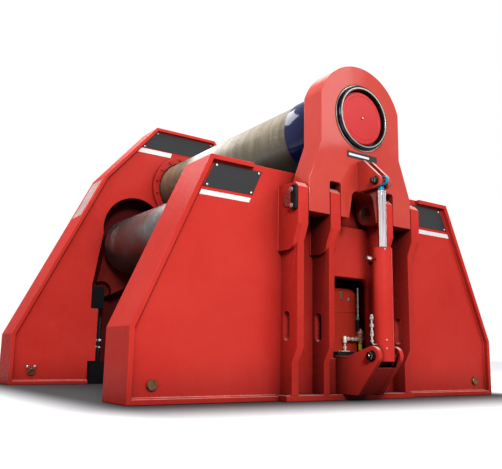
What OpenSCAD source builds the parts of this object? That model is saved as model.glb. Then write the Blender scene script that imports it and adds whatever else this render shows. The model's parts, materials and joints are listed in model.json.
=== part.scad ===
// Four-roll plate rolling machine with a drop end.
// X runs across the machine, Y along the rolls towards the drive end, Z up.
// The origin is on the floor, midway between the two end frames.

/* [End frames] */
// Width of each end frame at the floor
base_w = 3000; // [2800:10:3400]
// Height of the upright sides of both end frames
side_h = 400; // [300:10:450]
// Clear distance between the end frames
bay = 1920; // [1200:10:4000]
// Depth of each end frame along the rolls
frame_depth = 315; // [300:5:380]
// Thickness of the strip that edges each frame
strip_t = 30; // [20:1:36]
// Thickness of the face plates of each frame
web_t = 30; // [22:1:34]
// Distance from the lip of the edge strip back to the face plate
recess = 33; // [20:1:40]
// Height of the near frame
near_h = 1410; // [1380:5:1440]
// Width of the near frame at its top
near_top_w = 2094; // [1900:2:2200]
// Length of the edge strip along each top corner of the near frame
top_lip = 306; // [260:2:330]
// Height of the far frame
far_h = 2385; // [2330:5:2500]
// Width of the far frame at its top
far_top_w = 640; // [600:5:760]
// Height of the bend in the far frame's flanks
kink_h = 1827; // [1760:1:1900]
// Width of the far frame at that bend
kink_w = 1608; // [1560:2:1700]
// Thickness of the sole plate under the near frame's centre
sole_t = 36; // [30:1:50]
// Width of that sole plate
sole_w = 1080; // [1072:2:1120]

/* [Openings for the side rolls] */
// Radius of the arch round each raised side roll
arch_r = 302; // [296:1:310]
// Distance of the arch centre from the middle of the machine
arch_x = 480; // [470:1:490]
// Height of the arch centre
arch_z = 1365; // [1355:1:1375]
// Distance of the opening's outer edge from the middle
door_out = 852; // [840:1:880]
// Distance of the opening's inner edge from the middle
door_in = 330; // [320:1:334]
// Inward step of the outer edge beside the lift cylinder
door_step = 66; // [20:1:70]

/* [Rolls] */
// Radius of the top roll
top_r = 258; // [230:1:264]
// Height of the top roll's axis
top_z = 1815; // [1805:1:1840]
// Radius of the collar at the drop end of the top roll
collar_r = 266; // [264:1:275]
// Length of that collar
collar_l = 322; // [280:1:360]
// Radius of the side rolls
side_r = 247; // [230:1:249]
// Distance of each lowered side roll from the middle
side_x = 540; // [536:1:550]
// Height of the lowered side rolls
side_z = 1200; // [1190:1:1206]
// Radius of the side rolls' journals
side_journal_r = 110; // [90:1:112]
// Radius of the bottom roll
bottom_r = 240; // [220:1:242]
// Height of the bottom roll's axis
bottom_z = 1130; // [1120:1:1136]
// Radius of the bottom roll's journals
bottom_journal_r = 95; // [80:1:98]
// Gap between the end of a roll and the frame beside it
roll_gap = 20; // [12:1:30]

/* [Yoke of the drop end] */
// Thickness of the yoke along the rolls
yoke_t = 171; // [160:1:180]
// Distance of the yoke's back face in front of the near frame's lip
yoke_back = -6; // [-8:1:0]
// Radius of the yoke's round head
head_r = 369; // [356:1:380]
// Height of the centre of that round
head_z = 1804; // [1795:1:1812]
// Width of the yoke's head, across its upright sides
head_w = 704; // [690:2:708]
// Width of the yoke at its foot
yoke_w = 900; // [880:2:904]
// Height of the underside of the yoke's foot
yoke_foot_z = 1125; // [1120:1:1135]
// Height where the yoke's foot starts to narrow
yoke_waist_z = 1326; // [1315:1:1350]
// Height where the yoke reaches the width of its head
yoke_neck_z = 1590; // [1540:1:1620]
// Distance from the middle to the inner side of each slot for a rib
slot_in = 188; // [184:1:190]
// Width of each slot for a rib
slot_w = 94; // [88:1:96]
// Height of the top of the slots
slot_top_z = 1341; // [1335:1:1350]
// Half width of the cut-out in the middle of the foot
notch_half = 120; // [100:1:130]
// Height of the top of that cut-out
notch_top_z = 1311; // [1300:1:1315]
// Outer radius of the bearing ring in the yoke
bearing_r = 229; // [225:1:245]
// Radius of the cover disc in the middle of the bearing
cover_r = 169; // [160:1:172]
// Radius of the top roll's tapered journal at the back of the yoke
cone_r = 165; // [150:1:165]
// Taper of the journal to each side, in degrees
cone_angle = 15; // [14:0.5:16]

/* [Hinge of the yoke] */
// Height of the hinge pins
hinge_z = 1200; // [1197:1:1204]
// Distance of the hinge pins in front of the near frame's lip
hinge_out = 75; // [74:1:77]
// Radius of the hinge pins
hinge_pin_r = 48; // [40:1:50]
// Radius of the knuckles under the yoke's foot
knuckle_r = 81; // [80:1:83]
// Clearance between a rib and the yoke beside it
rib_gap = 6; // [4:0.5:8]
// Thickness of the inner ribs below their heads
rib_in_t = 44; // [38:1:60]
// Thickness of the outer ribs below their heads
rib_out_t = 50; // [40:1:56]
// Thickness of the pad outside the head of each outer rib
rib_pad_t = 28; // [16:1:30]
// Distance of the ribs' heads in front of the lip
rib_head_out = 165; // [160:1:170]
// Distance of the ribs' shanks in front of the lip
rib_shank_out = 125; // [110:1:140]
// Distance of the ribs' feet in front of the lip
rib_foot_out = 76; // [60:1:90]
// Height of the top of the ribs
rib_top_z = 1300; // [1290:1:1306]
// Height of the lower end of the ribs' heads
rib_head_z = 890; // [870:1:920]

/* [Tilt cylinder] */
// Distance of the cylinder's axis in front of the lip
tilt_out = 326; // [323:1:329]
// Height of the cylinder's lower pin
tilt_foot_z = 270; // [262:1:278]
// Height of the cylinder's upper pin
tilt_head_z = 1347; // [1343:1:1351]
// Radius of the barrel
barrel_r = 60; // [50:1:62]
// Height of the top of the barrel
barrel_top_z = 938; // [925:1:950]
// Radius of the rod
rod_r = 29; // [24:1:32]
// Radius of the lower pin
tilt_pin_r = 22; // [18:1:24]
// Radius of the upper pin
lug_pin_r = 20; // [16:1:21]
// Half the gap between the two lugs on the yoke
lug_in = 25; // [25:1:30]
// Thickness of each lug
lug_t = 24; // [20:1:28]
// Half the gap between the two cheeks of the lower bracket
cheek_in = 75; // [72:1:80]
// Thickness of each cheek
cheek_t = 30; // [24:1:32]

/* [Swing arms and lift cylinders] */
// Distance of the arms' pivot from the middle
swing_x = 215; // [213:1:217]
// Height of the arms' pivot
swing_z = 1075; // [1072:1:1078]
// Radius of the arms' pivot pins
swing_pin_r = 40; // [34:1:42]
// Radius of the arm round the side roll's bearing
arm_hub_r = 190; // [170:1:194]
// Clearance on each side of an arm within its frame
arm_gap = 14; // [8:1:20]
// Distance of the lift cylinders' axes from the middle
lift_x = 750; // [745:1:755]
// Height of the lift cylinders' lower pins
lift_foot_z = 150; // [146:1:154]
// Height of the lift cylinders' upper pins
lift_head_z = 790; // [785:1:795]
// Radius of the lift cylinders' barrels
lift_r = 50; // [44:1:54]
// Height of the top of the lift cylinders' barrels
lift_top_z = 570; // [560:1:580]
// Radius of the lift cylinders' rods
lift_rod_r = 25; // [20:1:28]
// Radius of the lift cylinders' pins
lift_pin_r = 20; // [16:1:22]

/* [Drive end] */
// Outer radius of the bearing flange round the top roll
ring_r = 330; // [315:1:345]
// Thickness of that flange in front of the face plate
ring_t = 30; // [22:1:36]
// Radius of the top roll's journal at the drive end
drive_journal_r = 170; // [150:1:180]
// Length of the top roll's gearbox with its motor
drive_l = 430; // [380:5:500]

/* [Hidden] */
$fn = 64;

red = "#d63a2a";
dark_red = "#a52a20";
steel = "#8c8680";
black = "#1c1d20";

// Running clearance of pins and journals in their bores
fit = 0.3;
// Overlap that lets one cut run past another
eps = 1;

// Planes along Y, from the near lip to the far lip
near_lip = -bay / 2 - frame_depth;
near_back = -bay / 2;
far_lip = bay / 2;
far_back = bay / 2 + frame_depth;
near_front_in = near_lip + recess + web_t;
near_rear_in = near_back - recess - web_t;
far_front_in = far_lip + recess + web_t;
far_rear_in = far_back - recess - web_t;
near_mid = (near_front_in + near_rear_in) / 2;
far_mid = (far_front_in + far_rear_in) / 2;
arm_t = near_rear_in - near_front_in - 2 * arm_gap;
near_ends = [near_front_in, near_rear_in];
far_ends = [far_front_in, far_rear_in];

yoke_rear_y = near_lip - yoke_back;
yoke_front_y = yoke_rear_y - yoke_t;
head_half = head_w / 2;
hinge_y = near_lip - hinge_out;
// Sides of the inner ribs' heads and of the outer ribs, out from the middle
rib_in_x = [slot_in + rib_gap, slot_in + slot_w - rib_gap];
rib_in_pad = (rib_in_x[1] - rib_in_x[0] - rib_in_t) / 2;
rib_out_x = [yoke_w / 2 + rib_gap, yoke_w / 2 + rib_gap + rib_out_t + rib_pad_t];
tilt_y = near_lip - tilt_out;
foot_half = base_w / 2;
sole_half = sole_w / 2;
door_foot_z = lift_foot_z + 40;
door_step_z = lift_top_z + 65;
door_top_z = lift_head_z + 50;

// Geometry helpers ---------------------------------------------------------

// An outline in X and Z, drawn through from y0 to y1
module across(y0, y1) {
    translate([0, y1, 0])
        rotate([90, 0, 0])
            linear_extrude(y1 - y0) children();
}

// An outline in Y and Z, drawn through from x0 to x1
module along(x0, x1) {
    translate([x0, 0, 0])
        rotate([90, 0, 90])
            linear_extrude(x1 - x0) children();
}

module y_rod(x, z, y0, y1, r) {
    translate([x, y1, z])
        rotate([90, 0, 0])
            cylinder(r = r, h = y1 - y0);
}

module x_rod(y, z, x0, x1, r) {
    translate([x0, y, z])
        rotate([0, 90, 0])
            cylinder(r = r, h = x1 - x0);
}

// A profile of [radius, y] points turned about the axis through x and z
module y_revolve(x, z, points) {
    translate([x, 0, z])
        rotate([-90, 0, 0])
            rotate_extrude($fn = 128) polygon(points);
}

module both_sides() {
    children();
    mirror([1, 0, 0]) children();
}

function reverse(p) = [for (i = [len(p) - 1:-1:0]) p[i]];
function mirrored(p) = [for (q = reverse(p)) [-q[0], q[1]]];
function left_of(a, b) = [a[1] - b[1], b[0] - a[0]] / norm(b - a);

// The point i of an open path, moved by t to the path's left
function shifted(p, i, t) =
    i == 0 ? p[0] + t * left_of(p[0], p[1]) :
    i == len(p) - 1 ? p[i] + t * left_of(p[i - 1], p[i]) :
    let(a = left_of(p[i - 1], p[i]), b = left_of(p[i], p[i + 1]))
    p[i] + t * (a + b) / (1 + a * b);
function shift(p, t) = [for (i = [0:len(p) - 1]) shifted(p, i, t)];
function strip(p, t) = concat(p, reverse(shift(p, t)));

// Direction in which the straight side from circle a to circle b faces
function facing(a, b) =
    let(d = [b[0] - a[0], b[1] - a[1]])
    atan2(d[1], d[0]) - acos((a[2] - b[2]) / norm(d));

// The outline drawn tight round circles [x, y, radius], listed anticlockwise
function wrap(c, steps = 16) =
    [for (i = [0:len(c) - 1])
        let(from = facing(c[(i + len(c) - 1) % len(c)], c[i]),
            sweep = (facing(c[i], c[(i + 1) % len(c)]) - from + 720) % 360)
        for (k = [0:c[i][2] > 0 ? steps : 0])
            [c[i][0], c[i][1]] + c[i][2] * [cos(from + sweep * k / steps), sin(from + sweep * k / steps)]];

function disc(centre, r) = [centre[0], centre[1], r];

// A slot or bar with round ends at a and b
module linked(a, b, r) {
    polygon(wrap([disc(a, r), disc(b, r)]));
}

// Outlines of the end frames --------------------------------------------------

near_edge = [[sole_half, 0], [foot_half, 0], [foot_half, side_h],
             [near_top_w / 2, near_h], [near_top_w / 2 - top_lip, near_h]];
far_edge = [[door_out, 0], [foot_half, 0], [foot_half, side_h],
            [kink_w / 2, kink_h], [far_top_w / 2, far_h], [0, far_h]];

near_half = concat([[sole_half, sole_t]], shift(near_edge, strip_t),
                   [[near_top_w / 2 - top_lip, near_h]]);
far_half = concat([[door_out, 0]], shift(far_edge, strip_t));

module near_outline() {
    polygon(concat(near_half, mirrored(near_half)));
}

module far_outline() {
    polygon(concat(far_half, mirrored(far_half)));
}

// The opening for one side roll: a stepped doorway under a round arch
module door() {
    lean = [arch_x + arch_r * cos(10), arch_z + arch_r * sin(-10)];
    polygon([[door_in, -eps], [door_out, -eps], [door_out, door_foot_z],
             [door_out - door_step, door_foot_z], [door_out - door_step, door_step_z],
             [door_out, door_step_z], [door_out, door_top_z], lean, [arch_x, arch_z],
             [door_in, arch_z]]);
    translate([arch_x, arch_z]) circle(arch_r, $fn = 128);
}

module doors() {
    both_sides() door();
}

// Near frame ------------------------------------------------------------------

window_half = 160;
window_z0 = 300;
window_z1 = 772;
window_corner = 45;

// A rectangle with its two top corners rounded
module rounded_top(x0, x1, z0, z1, r) {
    translate([x0, z0]) square([x1 - x0, z1 - z0 - r]);
    translate([x0 + r, z0]) square([x1 - x0 - 2 * r, z1 - z0]);
    translate([x0 + r, z1 - r]) circle(r);
    translate([x1 - r, z1 - r]) circle(r);
}

module window() {
    rounded_top(-window_half, window_half, window_z0, window_z1, window_corner);
}

module near_front_web() {
    color(red)
        across(near_lip + recess, near_front_in)
            difference() {
                near_outline();
                window();
            }
}

module near_rear_web() {
    color(red)
        across(near_rear_in, near_back - recess)
            difference() {
                near_outline();
                doors();
                translate([0, bottom_z]) circle(bottom_journal_r + 10);
            }
}

module near_right_flange() {
    color(red)
        across(near_lip, near_back)
            polygon(strip(near_edge, strip_t));
}

module near_left_flange() {
    mirror([1, 0, 0]) near_right_flange();
}

sole_out = 75;

module near_sole() {
    color(red)
        translate([-sole_half, near_lip - sole_out, 0])
            cube([2 * sole_half, frame_depth - recess + sole_out, sole_t]);
}

jamb_x = [300, 316];
jamb_top = 900;

// Stiffeners between the face plates, inside each doorway
module near_jambs() {
    color(red)
        both_sides()
            translate([jamb_x[0], near_front_in, sole_t])
                cube([jamb_x[1] - jamb_x[0], near_rear_in - near_front_in, jamb_top - sole_t]);
}

// The comb that carries the yoke ----------------------------------------------

rib_step_low = [225, 315];
rib_step_high = [945, 1040];
rib_chamfer = 32;
rib_corner_r = 60;
rib_slot_z = [352, 525];
rib_slot_r = 30;
rib_slot_y = near_lip - 22;

// The head of a rib from the side, down to its rounded lower corner
function head_profile() =
    let(back = near_lip + recess,
        head = near_lip - rib_head_out,
        corner = [near_lip - rib_shank_out + rib_corner_r, rib_head_z + rib_corner_r])
    concat([[back, rib_head_z]],
           [for (a = [270:-15:180]) corner + rib_corner_r * [cos(a), sin(a)]],
           [[head, rib_step_high[1]], [head, rib_top_z - rib_chamfer],
            [head + rib_chamfer, rib_top_z], [back, rib_top_z]]);

function rib_profile() =
    let(back = near_lip + recess,
        head = near_lip - rib_head_out,
        shank = near_lip - rib_shank_out,
        foot = near_lip - rib_foot_out)
    [[back, sole_t], [foot, sole_t], [foot, rib_step_low[0]], [shank, rib_step_low[1]],
     [shank, rib_step_high[0]], [head, rib_step_high[1]], [head, rib_top_z - rib_chamfer],
     [head + rib_chamfer, rib_top_z], [back, rib_top_z]];

// The right-hand rib between x[0] and x[1] at its head, thinner below by the pads
module rib(x, pad_in, pad_out) {
    color(red)
        difference() {
            union() {
                along(x[0] + pad_in, x[1] - pad_out)
                    difference() {
                        polygon(rib_profile());
                        linked([rib_slot_y, rib_slot_z[0] + rib_slot_r],
                               [rib_slot_y, rib_slot_z[1] - rib_slot_r], rib_slot_r);
                    }
                along(x[0], x[1]) polygon(head_profile());
            }
            x_rod(hinge_y, hinge_z, x[0] - eps, x[1] + eps, hinge_pin_r);
        }
}

module rib_inner_right() { rib(rib_in_x, rib_in_pad, rib_in_pad); }
module rib_outer_right() { rib(rib_out_x, 0, rib_pad_t); }
module rib_inner_left() { mirror([1, 0, 0]) rib_inner_right(); }
module rib_outer_left() { mirror([1, 0, 0]) rib_outer_right(); }

centre_web_out = 10;
centre_web_t = 28;
centre_web_top = hinge_z - knuckle_r - 12;
centre_web_y = near_lip - centre_web_out;

module centre_web() {
    low_half = rib_in_x[0] + rib_in_pad;
    high_half = rib_in_x[0];
    color(red)
        across(centre_web_y, centre_web_y + centre_web_t)
            difference() {
                polygon([[-low_half, sole_t], [low_half, sole_t], [low_half, rib_head_z],
                         [high_half, rib_head_z], [high_half, centre_web_top],
                         [-high_half, centre_web_top], [-high_half, rib_head_z],
                         [-low_half, rib_head_z]]);
                window();
            }
}

keeper_t = 18;
keeper_half = 78;
keeper_r = 25;
// Front and rear edge of the keeper, in front of the lip
keeper_out = [163, 110];
pin_proud = 7;

// The plate that holds the left pin in its place
module pin_keeper() {
    y0 = near_lip - keeper_out[0];
    y1 = near_lip - keeper_out[1];
    low = hinge_z - keeper_half + keeper_r;
    high = hinge_z + keeper_half - keeper_r;
    color(black)
        along(-rib_out_x[1] - keeper_t, -rib_out_x[1])
            polygon(wrap([[y0 + keeper_r, low, keeper_r], [y1 - keeper_r, low, keeper_r],
                          [y1 - keeper_r, high, keeper_r], [y0 + keeper_r, high, keeper_r]], 6));
}

// A pin on each side, through two ribs and the knuckle between them
module hinge_pins() {
    end = rib_out_x[1] + pin_proud;
    color(steel)
        difference() {
            both_sides() x_rod(hinge_y, hinge_z, notch_half, end, hinge_pin_r - fit);
            translate([-end - eps, hinge_y - hinge_pin_r - eps, hinge_z - hinge_pin_r - eps])
                cube([pin_proud + eps, near_lip - keeper_out[1] - hinge_y + hinge_pin_r + 2 * eps,
                      2 * (hinge_pin_r + eps)]);
        }
}

// Bracket under the tilt cylinder ------------------------------------------------

cheek_r = 58;
cheek_heel = [205, 42];
cheek_shoulder = [126, 268];
gusset_top = 202;

module tilt_bracket() {
    low = [near_lip - cheek_heel[0], cheek_heel[1]];
    color(red) {
        both_sides()
            along(cheek_in, cheek_in + cheek_t)
                polygon(wrap([disc(low, 6), [centre_web_y, sole_t, 0],
                              [centre_web_y, cheek_shoulder[1], 0],
                              [near_lip - cheek_shoulder[0], cheek_shoulder[1], 0],
                              [tilt_y, tilt_foot_z, cheek_r]]));
        along(-cheek_in, cheek_in)
            polygon([low, low + [34, 0], [tilt_y + 22, gusset_top], [tilt_y - 14, gusset_top]]);
    }
    color(steel)
        x_rod(tilt_y, tilt_foot_z, -cheek_in - cheek_t - 16, cheek_in + cheek_t + 16, tilt_pin_r - fit);
}

// Valve panel and pipework behind the window ---------------------------------------

panel_y = near_lip + 118;
panel_t = 12;
panel_x = [-170, 205];
panel_top = 714;
// Middle of the valve's pipes, in front of the panel
fitting_y = panel_y - 28;
feed_x = 189;
feed_top = 860;
feed_r = 9;
// The valve's body: its left side, its width, and its foot and top
valve_x = 190;
valve_w = 44;
valve_z = [353, 450];
// The drain line: its height, and the tee at its end that leads down to the block
drain_z = 379;
drain_r = 8;
tee_x = 70;
tee_w = 28;
tee_z = [349, 394];
drain_block = [-8, 137];
drain_block_z = [150, 297];
drain_block_d = 48;

module valve_panel() {
    color(dark_red)
        across(panel_y, panel_y + panel_t)
            rounded_top(panel_x[0], panel_x[1], sole_t, panel_top, 70);
}

module valve_fittings() {
    color(steel) {
        translate([feed_x, fitting_y, valve_z[0]]) cylinder(r = feed_r, h = feed_top - valve_z[0]);
        x_rod(fitting_y, drain_z, tee_x, valve_x + eps, drain_r);
        translate([tee_x, fitting_y, drain_block_z[1] - eps])
            cylinder(r = drain_r, h = valve_z[0] - drain_block_z[1]);
        translate([tee_x - tee_w / 2, fitting_y - tee_w / 2, tee_z[0]])
            cube([tee_w, tee_w, tee_z[1] - tee_z[0]]);
    }
    color("#b08d57") {
        translate([valve_x, fitting_y - valve_w / 3, valve_z[0]])
            cube([valve_w, panel_y - fitting_y + valve_w / 3, valve_z[1] - valve_z[0]]);
        translate([valve_x + valve_w / 2, fitting_y, valve_z[0] - valve_w])
            cylinder(r = valve_w / 4, h = 2 * valve_w);
    }
    color(black)
        translate([drain_block[0], panel_y - drain_block_d, drain_block_z[0]])
            cube([drain_block[1] - drain_block[0], drain_block_d, drain_block_z[1] - drain_block_z[0]]);
}

// Yoke of the drop end ---------------------------------------------------------------

slot_corner = 18;
notch_flare = 25;
notch_corner = 50;

// The yoke from the front: a round head between upright sides, over a wider foot
module yoke_face() {
    half = yoke_w / 2;
    start = acos(head_half / head_r);
    difference() {
        polygon(concat(
            [[half, yoke_foot_z], [half, yoke_waist_z], [head_half, yoke_neck_z]],
            [for (k = [0:48]) let(a = start + (180 - 2 * start) * k / 48)
                [head_r * cos(a), head_z + head_r * sin(a)]],
            [[-head_half, yoke_neck_z], [-half, yoke_waist_z], [-half, yoke_foot_z]]));
        translate([0, top_z]) circle(bearing_r, $fn = 128);
        both_sides()
            rounded_top(slot_in, slot_in + slot_w, yoke_foot_z - eps, slot_top_z, slot_corner);
        rounded_top(notch_flare - notch_half, notch_half - notch_flare, yoke_foot_z - eps,
                    notch_top_z, notch_corner);
        polygon([[-notch_half, yoke_foot_z - eps], [notch_half, yoke_foot_z - eps],
                 [notch_half - notch_flare, notch_top_z - notch_corner],
                 [notch_flare - notch_half, notch_top_z - notch_corner]]);
    }
}

// The yoke seen from the side, with its foot rounded about the hinge
module yoke_side() {
    translate([yoke_front_y, hinge_z]) square([yoke_t, head_z + head_r - hinge_z + eps]);
    intersection() {
        translate([hinge_y, hinge_z]) circle(knuckle_r, $fn = 128);
        translate([yoke_front_y, yoke_foot_z]) square([yoke_t, hinge_z - yoke_foot_z + eps]);
    }
    translate([yoke_front_y, yoke_foot_z])
        square([hinge_y - yoke_front_y, hinge_z - yoke_foot_z + eps]);
}

module yoke() {
    color(red)
        difference() {
            intersection() {
                across(yoke_front_y, yoke_rear_y) yoke_face();
                along(-yoke_w / 2 - eps, yoke_w / 2 + eps) yoke_side();
            }
            x_rod(hinge_y, hinge_z, -yoke_w / 2 - eps, yoke_w / 2 + eps, hinge_pin_r);
        }
}

// Radius of the tapered journal at a given y
function journal_r(y) = cone_r - (yoke_rear_y - y) * tan(cone_angle);
journal_end_y = yoke_front_y + 45;
bush_end_y = journal_end_y - 8;
ring_proud = 14;
ring_w = 19;
groove_w = 24;
groove_depth = 18;
cover_y = yoke_front_y - 8;
cover_t = 22;

module yoke_bearing() {
    gap = 2 * fit / cos(cone_angle);
    front = yoke_front_y - ring_proud;
    groove = bearing_r - ring_w - groove_w;
    color(steel)
        y_revolve(0, top_z, [
            [journal_r(yoke_rear_y) + gap, yoke_rear_y], [bearing_r, yoke_rear_y],
            [bearing_r, front], [bearing_r - ring_w, front],
            [bearing_r - ring_w, front + groove_depth], [groove, front + groove_depth],
            [groove, front + 2], [cover_r, front + 2],
            [cover_r, cover_y + cover_t], [0, cover_y + cover_t], [0, bush_end_y],
            [journal_r(bush_end_y) + gap, bush_end_y]]);
}

module yoke_cover() {
    color(red)
        y_revolve(0, top_z, [
            [10, cover_y], [cover_r, cover_y], [cover_r, cover_y + cover_t],
            [10, cover_y + cover_t]]);
}

lug_seat_z = [1303, 1505];
lug_top_l = 60;
lug_r = 42;

module yoke_lugs() {
    color(red)
        both_sides()
            along(lug_in, lug_in + lug_t)
                polygon(wrap([[tilt_y, tilt_head_z, lug_r], [yoke_front_y, lug_seat_z[0], 0],
                              [yoke_front_y, lug_seat_z[1], 0],
                              [yoke_front_y - lug_top_l, lug_seat_z[1], 0]]));
    color(steel)
        x_rod(tilt_y, tilt_head_z, -lug_in - lug_t - 10, lug_in + lug_t + 10, lug_pin_r);
}

// Tilt cylinder ------------------------------------------------------------------------

tilt_bore_z = 300;
barrel_foot = 30;
rod_low_z = 600;
// Play between the eye's slot and the pin, above and below
eye_play = 4;
// Sideways travel of the upper pin in the rod's eye: outwards and inwards
eye_slot = [35, 9];
eye_r = 52;
eye_half = 22;
// The rod ends below the lugs, and a neck slimmer than the eye joins the two
rod_top_z = tilt_head_z - eye_r - 6;
eye_neck_r = 20;
eye_neck_h = 20;

module tilt_barrel() {
    color(red)
        difference() {
            translate([0, tilt_y, tilt_foot_z - barrel_foot])
                cylinder(r = barrel_r, h = barrel_top_z - tilt_foot_z + barrel_foot);
            translate([0, tilt_y, tilt_bore_z]) cylinder(r = rod_r + fit, h = barrel_top_z);
            x_rod(tilt_y, tilt_foot_z, -barrel_r - eps, barrel_r + eps, tilt_pin_r);
        }
}

module tilt_rod() {
    out = tilt_y - eye_slot[0];
    back = tilt_y + eye_slot[1];
    color("silver")
        translate([0, tilt_y, rod_low_z]) cylinder(r = rod_r, h = rod_top_z - rod_low_z);
    color("#1f9bc4")
        translate([0, tilt_y, rod_top_z - eps]) cylinder(r = eye_neck_r, h = eye_neck_h);
    color("#1f9bc4")
        difference() {
            x_rod((out + back) / 2, tilt_head_z, -eye_half, eye_half, eye_r);
            along(-eye_half - eps, eye_half + eps)
                linked([back, tilt_head_z], [out, tilt_head_z], lug_pin_r + eye_play);
        }
}

// Rolls ------------------------------------------------------------------------------------

collar_y0 = yoke_rear_y + 5;
collar_y1 = collar_y0 + collar_l;
neck_r = 200;
top_end_y = far_lip + 18;

module top_roll() {
    color(steel)
        y_revolve(0, top_z, [
            [0, journal_end_y], [journal_r(journal_end_y), journal_end_y],
            [journal_r(yoke_rear_y), yoke_rear_y], [journal_r(yoke_rear_y), collar_y0],
            [neck_r, collar_y0], [neck_r, collar_y1], [top_r, collar_y1], [top_r, top_end_y],
            [drive_journal_r, top_end_y], [drive_journal_r, far_back - recess - 10],
            [0, far_back - recess - 10]]);
}

module roll_collar() {
    color("#16245e")
        y_revolve(0, top_z, [
            [neck_r, collar_y0], [collar_r - 6, collar_y0], [collar_r, collar_y0 + 6],
            [collar_r, collar_y1], [neck_r, collar_y1]]);
}

// A roll with a journal at each end, reaching from y0 to y1
module roll(x, z, r, journal, y0, y1) {
    b0 = near_back + roll_gap;
    b1 = far_lip - roll_gap;
    color(steel)
        y_revolve(x, z, [
            [0, y0], [journal, y0], [journal, b0], [r - 8, b0], [r, b0 + 8],
            [r, b1 - 8], [r - 8, b1], [journal, b1], [journal, y1], [0, y1]]);
}

module bottom_roll() {
    roll(0, bottom_z, bottom_r, bottom_journal_r, near_front_in + 20, far_back - recess - 10);
}

module left_roll() {
    roll(-side_x, side_z, side_r, side_journal_r, near_front_in + arm_gap, far_rear_in - arm_gap);
}

module right_roll() {
    mirror([1, 0, 0]) left_roll();
}

// Swing arms --------------------------------------------------------------------------------

lug_eye_r = 58;
swing_hub_r = 70;
// Travel of the lift cylinder's pin in the arm's eye
lift_slot = [-25, 13];
slot_play = 3.5;
tongue_t = 40;
// Room cut round the eye beside the tongue, for the fork's cheeks
tongue_room = 34;

// The right arm in one frame, between the planes y0 and y1
module swing_arm(ends) {
    axis = [side_x, side_z];
    pivot = [swing_x, swing_z];
    lug = [lift_x, lift_head_z];
    mid = (ends[0] + ends[1]) / 2;
    discs = [disc(lug, lug_eye_r), disc(axis, arm_hub_r), disc(pivot, swing_hub_r)];
    color(dark_red)
        difference() {
            across(ends[0] + arm_gap, ends[1] - arm_gap)
                difference() {
                    polygon(wrap(discs, 32));
                    translate(axis) circle(side_journal_r + fit);
                    translate(pivot) circle(swing_pin_r + fit);
                    linked(lug, lug + lift_slot, lift_pin_r + slot_play);
                }
            for (cut = [[-arm_t, -tongue_t / 2], [tongue_t / 2, arm_t]])
                across(mid + cut[0], mid + cut[1])
                    translate(lug) circle(lug_eye_r + tongue_room);
        }
}

module near_right_arm() { swing_arm(near_ends); }
module far_right_arm() { swing_arm(far_ends); }
module near_left_arm() { mirror([1, 0, 0]) swing_arm(near_ends); }
module far_left_arm() { mirror([1, 0, 0]) swing_arm(far_ends); }

module swing_pins() {
    color(steel)
        for (ends = [near_ends, far_ends])
            both_sides()
                y_rod(swing_x, swing_z, ends[0], ends[1], swing_pin_r);
}

// Lift cylinders -----------------------------------------------------------------------------

lift_bore_z = 195;
lift_rod_low = 210;
fork_gap = tongue_t / 2 + 1;
fork_t = 22;
fork_r = 36;
fork_base_h = 30;
// From the fork's base up to the pin
fork_h = 80;
// The pin stands this far out of the fork on each side
pin_out = 8;
lift_eye_half = 24;
lift_eye_r = 42;
lift_foot_h = 30;

module lift_barrel(mid) {
    color(black)
        difference() {
            union() {
                translate([lift_x, mid, lift_foot_z + lift_foot_h])
                    cylinder(r = lift_r, h = lift_top_z - lift_foot_z - lift_foot_h);
                y_rod(lift_x, lift_foot_z, mid - lift_eye_half, mid + lift_eye_half, lift_eye_r);
            }
            translate([lift_x, mid, lift_bore_z]) cylinder(r = lift_rod_r + fit, h = lift_top_z);
            y_rod(lift_x, lift_foot_z, mid - lift_r, mid + lift_r, lift_pin_r);
        }
}

module lift_rod(mid) {
    base = lift_head_z - fork_h;
    pin_half = fork_gap + fork_t + pin_out;
    color("silver")
        translate([lift_x, mid, lift_rod_low]) cylinder(r = lift_rod_r, h = base - lift_rod_low);
    color(black) {
        translate([lift_x - fork_r, mid - fork_gap - fork_t, base - fork_base_h])
            cube([2 * fork_r, 2 * (fork_gap + fork_t), fork_base_h]);
        for (side = [-1, 1])
            across(mid + side * (fork_gap + fork_t / 2) - fork_t / 2,
                   mid + side * (fork_gap + fork_t / 2) + fork_t / 2) {
                translate([lift_x, lift_head_z]) circle(fork_r);
                translate([lift_x - fork_r, base]) square([2 * fork_r, lift_head_z - base]);
            }
        y_rod(lift_x, lift_head_z, mid - pin_half, mid + pin_half, lift_pin_r);
    }
}

module right_lift_barrels() {
    lift_barrel(near_mid);
    lift_barrel(far_mid);
}

module left_lift_barrels() {
    mirror([1, 0, 0]) right_lift_barrels();
}

module right_lift_rods() {
    lift_rod(near_mid);
    lift_rod(far_mid);
}

module left_lift_rods() {
    mirror([1, 0, 0]) right_lift_rods();
}

foot_half_w = 80;
// The foot's top above its pin, its slot's floor below it, and where the barrel's pocket starts
foot_top = 40;
foot_slot = 50;
foot_pocket = 24;
// Room beside the eye, and half the pocket that the barrel swings in
eye_room = 2;
pocket_half_x = lift_r + 12;
pocket_half_y = lift_r + 6;

// A foot block with two cheeks round the eye, standing at z0 between the face plates
module lift_foot(ends, z0) {
    mid = (ends[0] + ends[1]) / 2;
    color(black)
        difference() {
            translate([lift_x - foot_half_w, ends[0], z0])
                cube([2 * foot_half_w, ends[1] - ends[0], lift_foot_z + foot_top - z0]);
            translate([lift_x - foot_half_w - eps, mid - lift_eye_half - eye_room, lift_foot_z - foot_slot])
                cube([2 * (foot_half_w + eps), 2 * (lift_eye_half + eye_room), 2 * foot_slot]);
            translate([lift_x - pocket_half_x, mid - pocket_half_y, lift_foot_z + foot_pocket])
                cube([2 * pocket_half_x, 2 * pocket_half_y, foot_top]);
        }
    color(steel)
        y_rod(lift_x, lift_foot_z, ends[0] + 20, ends[1] - 20, lift_pin_r - fit);
}

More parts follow.
